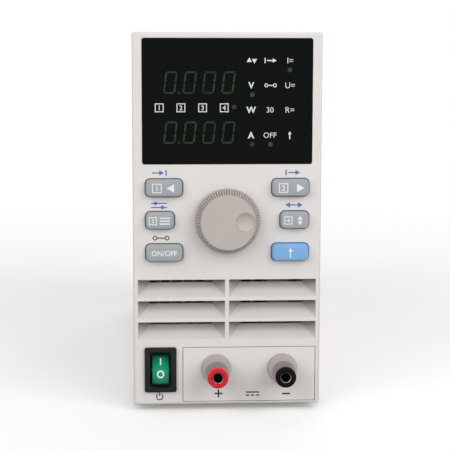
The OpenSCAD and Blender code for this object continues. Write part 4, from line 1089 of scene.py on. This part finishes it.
# %% [markdown]
# The rocker carries the two usual marks, a bar for on and a ring for off. Its two faces meet at a blunt
# angle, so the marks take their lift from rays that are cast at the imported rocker.

# %% Marks on the rocker
ROCKER_X = face_box("power_rocker")[:, 0].mean()
ON_MARK_H = 21.3
OFF_MARK_H = 15.4


def rocker_front():
    """Lift of the rocker's front by height: its two flat faces, found by rays at many heights."""
    heights = np.linspace(9.0, 25.0, 65)
    starts = on_face(ROCKER_X, heights, 20.0)
    hits = [nodes["power_rocker"].ray_cast(start, (0.0, 1.0, 0.0)) for start in starts]
    lifts = [(FACE_Y - place.y) / MM if found else np.nan for found, place, normal, face in hits]
    known = ~np.isnan(lifts)
    return lambda x, h: np.interp(h, heights[known], np.array(lifts)[known])


on_mark = bar(ROCKER_X, ON_MARK_H, 0.6, 3.3)
off_mark = ring(ROCKER_X, OFF_MARK_H, 1.7, 0.62)
printed("rocker_marks", [on_mark, off_mark], "legend_white", "rocker", rocker_front())

# %% [markdown]
# Captions are printed on the moulded face, blue over the keys and black elsewhere. They are drawings, so
# their places are given where they are drawn: x and h first, then sizes. Only the rows have names.

# %% Captions on the face
UPPER_ROW = 110.3
MIDDLE_ROW = 95.1
LOWER_ROW = 79.8


def slider(x, h, knob, length=7.4, radius=0.85):
    """A line broken by a round knob."""
    left, right = -length / 2, length / 2
    ends = [(left, knob - radius), (knob + radius, right)]
    return [dot(x + knob, h, radius)] + [bar(x + (a + b) / 2, h, b - a, 0.5) for a, b in ends]


def plus(x, h, size, line):
    """A level bar with a stub above and a stub below."""
    stub = (size - line) / 2
    rise = (stub + line) / 2
    return [bar(x, h, size, line), bar(x, h + rise, line, stub), bar(x, h - rise, line, stub)]


printed("blue_captions", [
    *arrow(-32.2, UPPER_ROW, 5.4, 0.0), bar(-28.4, UPPER_ROW, 0.6, 2.7),
    bar(27.4, UPPER_ROW, 0.6, 2.7), *arrow(31.2, UPPER_ROW, 5.4, 0.0),
    *slider(-31.8, MIDDLE_ROW + 1.0, -1.6), *slider(-31.8, MIDDLE_ROW - 0.9, 1.6),
    triangle(28.6, MIDDLE_ROW, 1.5, 180.0), bar(31.2, MIDDLE_ROW, 3.6, 0.55),
    triangle(33.8, MIDDLE_ROW, 1.5, 0.0),
], "caption_ink", "case")
printed("black_captions", [
    ring(-33.7, LOWER_ROW, 1.1, 0.45), bar(-30.9, LOWER_ROW, 3.5, 0.5), ring(-28.1, LOWER_ROW, 1.1, 0.45),
    bow(-31.85, 4.0, 1.75, 0.5, 125.0, 415.0), bar(-31.85, 5.2, 0.5, 1.9),
], "black_ink", "case")
printed("post_captions", [
    *plus(-4.0, 5.2, 3.8, 0.72), bar(28.1, 4.8, 3.8, 0.72),
    bar(12.2, 5.7, 6.4, 0.6), *[bar(12.2 + x, 4.2, 1.6, 0.6) for x in (-2.4, 0.0, 2.4)],
], "black_ink", "case")

# %% [markdown]
# The display. Two rows of four leaning digits show a reading of zero through the smoked window. A digit
# is built from six pointed bars of a seven-bar figure. Units and state signs are printed in white
# beside them, and five small lamps glow dimly.

# %% Display
DIGIT_H = 10.35
DIGIT_W = 5.6
DIGIT_LINE = 0.85
DIGIT_PITCH = 8.94
DIGIT_LEAN = np.tan(np.radians(7.0))
DIGIT_X = -29.8
DIGIT_ROWS = [146.8, 123.8]
LIT_LAMPS = [(11.5, 146.4), (28.8, 157.8), (20.0, 123.5)]
DIM_LAMPS = [(3.06, 140.7), (11.5, 123.5)]
LAMP_R = 1.1
POINT_X = -22.5
POINT_R = 0.5
BOXED_X = [-31.5, -21.5, -11.5, -1.5]
BOXED_H = 140.4
UNIT_X = 10.95
STATE_X = 19.75
MODE_X = 28.95
LABEL_ROWS = [162.1, 150.7, 139.4, 127.7]
WINDOW_LIFT = face_box("display_window")[1][2]


def segment(start, end):
    """A bar with pointed ends between two joints of the figure, drawn upright."""
    start, end = np.array(start), np.array(end)
    way = (end - start) / np.linalg.norm(end - start)
    side = np.array([-way[1], way[0]]) * DIGIT_LINE / 2
    neck = way * DIGIT_LINE * 0.65
    tip = way * DIGIT_LINE * 0.2
    return np.array([start + tip, start + neck - side, end - neck - side,
                     end - tip, end - neck + side, start + neck + side])


def zero(x, h):
    """The figure 0: the six outer bars, leaned by adding to x a share of the height."""
    left, right, top, mid = DIGIT_LINE / 2, DIGIT_W - DIGIT_LINE / 2, DIGIT_H - DIGIT_LINE / 2, DIGIT_H / 2
    low = DIGIT_LINE / 2
    joints = [((left, low), (right, low)), ((left, top), (right, top)), ((left, low), (left, mid)),
              ((left, mid), (left, top)), ((right, low), (right, mid)), ((right, mid), (right, top))]
    outlines = [segment(start, end) for start, end in joints]
    return [slab(np.column_stack([x + o[:, 0] + DIGIT_LEAN * o[:, 1], h + o[:, 1]])) for o in outlines]


digits = []
for row in DIGIT_ROWS:
    for place in range(4):
        digits += zero(DIGIT_X + place * DIGIT_PITCH, row)
    digits.append(dot(POINT_X, row + POINT_R, POINT_R))
printed("display_digits", digits, "digit_glow", "case", WINDOW_LIFT)
printed("display_lamps", [dot(x, h, LAMP_R) for x, h in LIT_LAMPS], "lamp_glow", "case", WINDOW_LIFT)
printed("dim_lamps", [dot(x, h, LAMP_R) for x, h in DIM_LAMPS], "lamp_dim", "case", WINDOW_LIFT)
first_row, second_row, third_row, fourth_row = LABEL_ROWS
printed("display_labels", [
    *[shape for x, digit in zip(BOXED_X, "1234") for shape in boxed(x, BOXED_H, digit, 4.05)],
    triangle(10.0, first_row, 1.4, 90.0), triangle(12.4, first_row, 1.4, 270.0),
    *[letters(unit, UNIT_X, h, 3.0, 0.03) for unit, h in zip("VWA", LABEL_ROWS[1:])],
    bar(17.3, first_row, 0.5, 2.4), *arrow(20.4, first_row, 4.4, 0.0),
    ring(17.9, second_row, 0.9, 0.4), bar(19.9, second_row, 2.3, 0.42), ring(21.9, second_row, 0.9, 0.4),
    letters("30", STATE_X, third_row, 2.5), letters("OFF", STATE_X, fourth_row, 2.5),
    *[letters(mode + "=", MODE_X, h, 2.6) for mode, h in zip("IUR", LABEL_ROWS)],
    *arrow(MODE_X, fourth_row, 3.6, 90.0),
], "label_white", "case", WINDOW_LIFT)

# %% [markdown]
# The studio: a white sweep, two large soft lights in front, left and right, and one behind, with an even
# sky. The two front lights give the shadows on both sides of the dial. The photograph's background is
# pure white, so camera rays that miss everything see white, and the floor adds a little of its own light
# for the camera only. It still takes the shadow, and sends less light back up than a white floor would.

# %% Studio
SKY_LIGHT = 0.45
WHITE = (1.0, 1.0, 1.0, 1.0)


# Each lamp's place, the point it faces, its side and its power, in metres and watts
LAMPS = {
    "left_light": ((-1.05, -1.4, 0.95), (0.0, -0.1, 0.09), 1.5, 14.5),
    "right_light": ((1.05, -1.4, 0.95), (0.0, -0.1, 0.09), 1.5, 17.5),
    "back_light": ((0.5, 2.2, 0.9), (0.0, 0.1, 0.09), 1.4, 14.0),
}


def light_sky():
    """A white world: full strength for what the camera, gloss and glass see, less as a lamp."""
    world = bpy.data.worlds.new("sky")
    world.use_nodes = True
    bpy.context.scene.world = world
    sky = NodeMaker(world.node_tree)
    kinds = ["Is Camera Ray", "Is Glossy Ray", "Is Transmission Ray"]
    camera, glossy, glass = [sky.node("ShaderNodeLightPath", output=kind) for kind in kinds]
    seen = camera.at_least(glossy).at_least(glass)
    background = world.node_tree.nodes["Background"]
    sky.feed(background.inputs["Color"], WHITE)
    sky.feed(background.inputs["Strength"], SKY_LIGHT + (1.0 - SKY_LIGHT) * seen)


def soft_lamp(name, place, target, size, power):
    """A square area light at place, facing target."""
    data = bpy.data.lights.new(name, "AREA")
    data.size = size
    data.energy = power
    back = np.array(place) - np.array(target)
    back = back / np.linalg.norm(back)
    right = np.cross([0.0, 0.0, 1.0], back)
    right = right / np.linalg.norm(right)
    stand(name, data, [right, np.cross(back, right), back], place)


light_sky()
for lamp, values in LAMPS.items():
    soft_lamp(lamp, *values)
print("lamps", list(LAMPS))

# %% [markdown]
# The floor is one large sheet. It takes the shadow like any pale surface. Towards the distance it fades
# into pure white, so that no horizon shows behind the instrument.

# %% Floor
FLOOR_HALF = 12.0
FLOOR_TONES = [(0.90, 0.90, 0.90, 1.0), (0.93, 0.93, 0.93, 1.0)]
FLOOR_GLOW = 0.2
FLOOR_BOUNCE = (0.45, 0.45, 0.45, 1.0)
FADE_START_MM = 200.0
FADE_LENGTH_MM = 500.0


def lay_floor():
    """A pale sweep at the level of the feet. For the camera it glows a little, and fades to white far off."""
    f = Finish("floor_sweep")
    cloud = f.noise(400.0, 2.0)
    pale = f.mix(*FLOOR_TONES, cloud)
    bounced = f.node("ShaderNodeLightPath", output="Is Diffuse Ray")
    f.wear(Base_Color=f.mix(pale, FLOOR_BOUNCE, bounced), Roughness=0.9)
    f.wear(Specular_IOR_Level=0.0, Emission_Color=WHITE)
    seen = f.node("ShaderNodeLightPath", output="Is Camera Ray")
    mirrored = f.node("ShaderNodeLightPath", output="Is Glossy Ray")
    f.wear(Emission_Strength=FLOOR_GLOW * seen)
    away = (f.axis(0) * f.axis(0) + f.axis(1) * f.axis(1)) ** 0.5
    fade = ((away - FADE_START_MM) * (1.0 / FADE_LENGTH_MM)).at_least(0.0).at_most(1.0)
    white = f.node("ShaderNodeEmission", {}, {"Color": WHITE})
    lit = Flow(f, f.shader.outputs[0])
    mixed = f.node("ShaderNodeMixShader", {}, {0: fade * seen.at_least(mirrored), 1: lit, 2: white})
    f.feed(f.tree.nodes["Material Output"].inputs["Surface"], mixed)
    corners = np.array([[-1, -1, 0], [1, -1, 0], [1, 1, 0], [-1, 1, 0]]) * FLOOR_HALF
    corners = corners + np.array([0.0, 0.0, cad_box[0][2]])
    mesh = bpy.data.meshes.new("floor")
    mesh.from_pydata(corners.tolist(), [], [(0, 1, 2, 3)])
    floor = bpy.data.objects.new("floor", mesh)
    bpy.context.scene.collection.objects.link(floor)
    mesh.materials.append(f.material)


lay_floor()
print("floor at", round(cad_box[0][2], 4))
bpy.context.scene.view_settings.view_transform = "Standard"
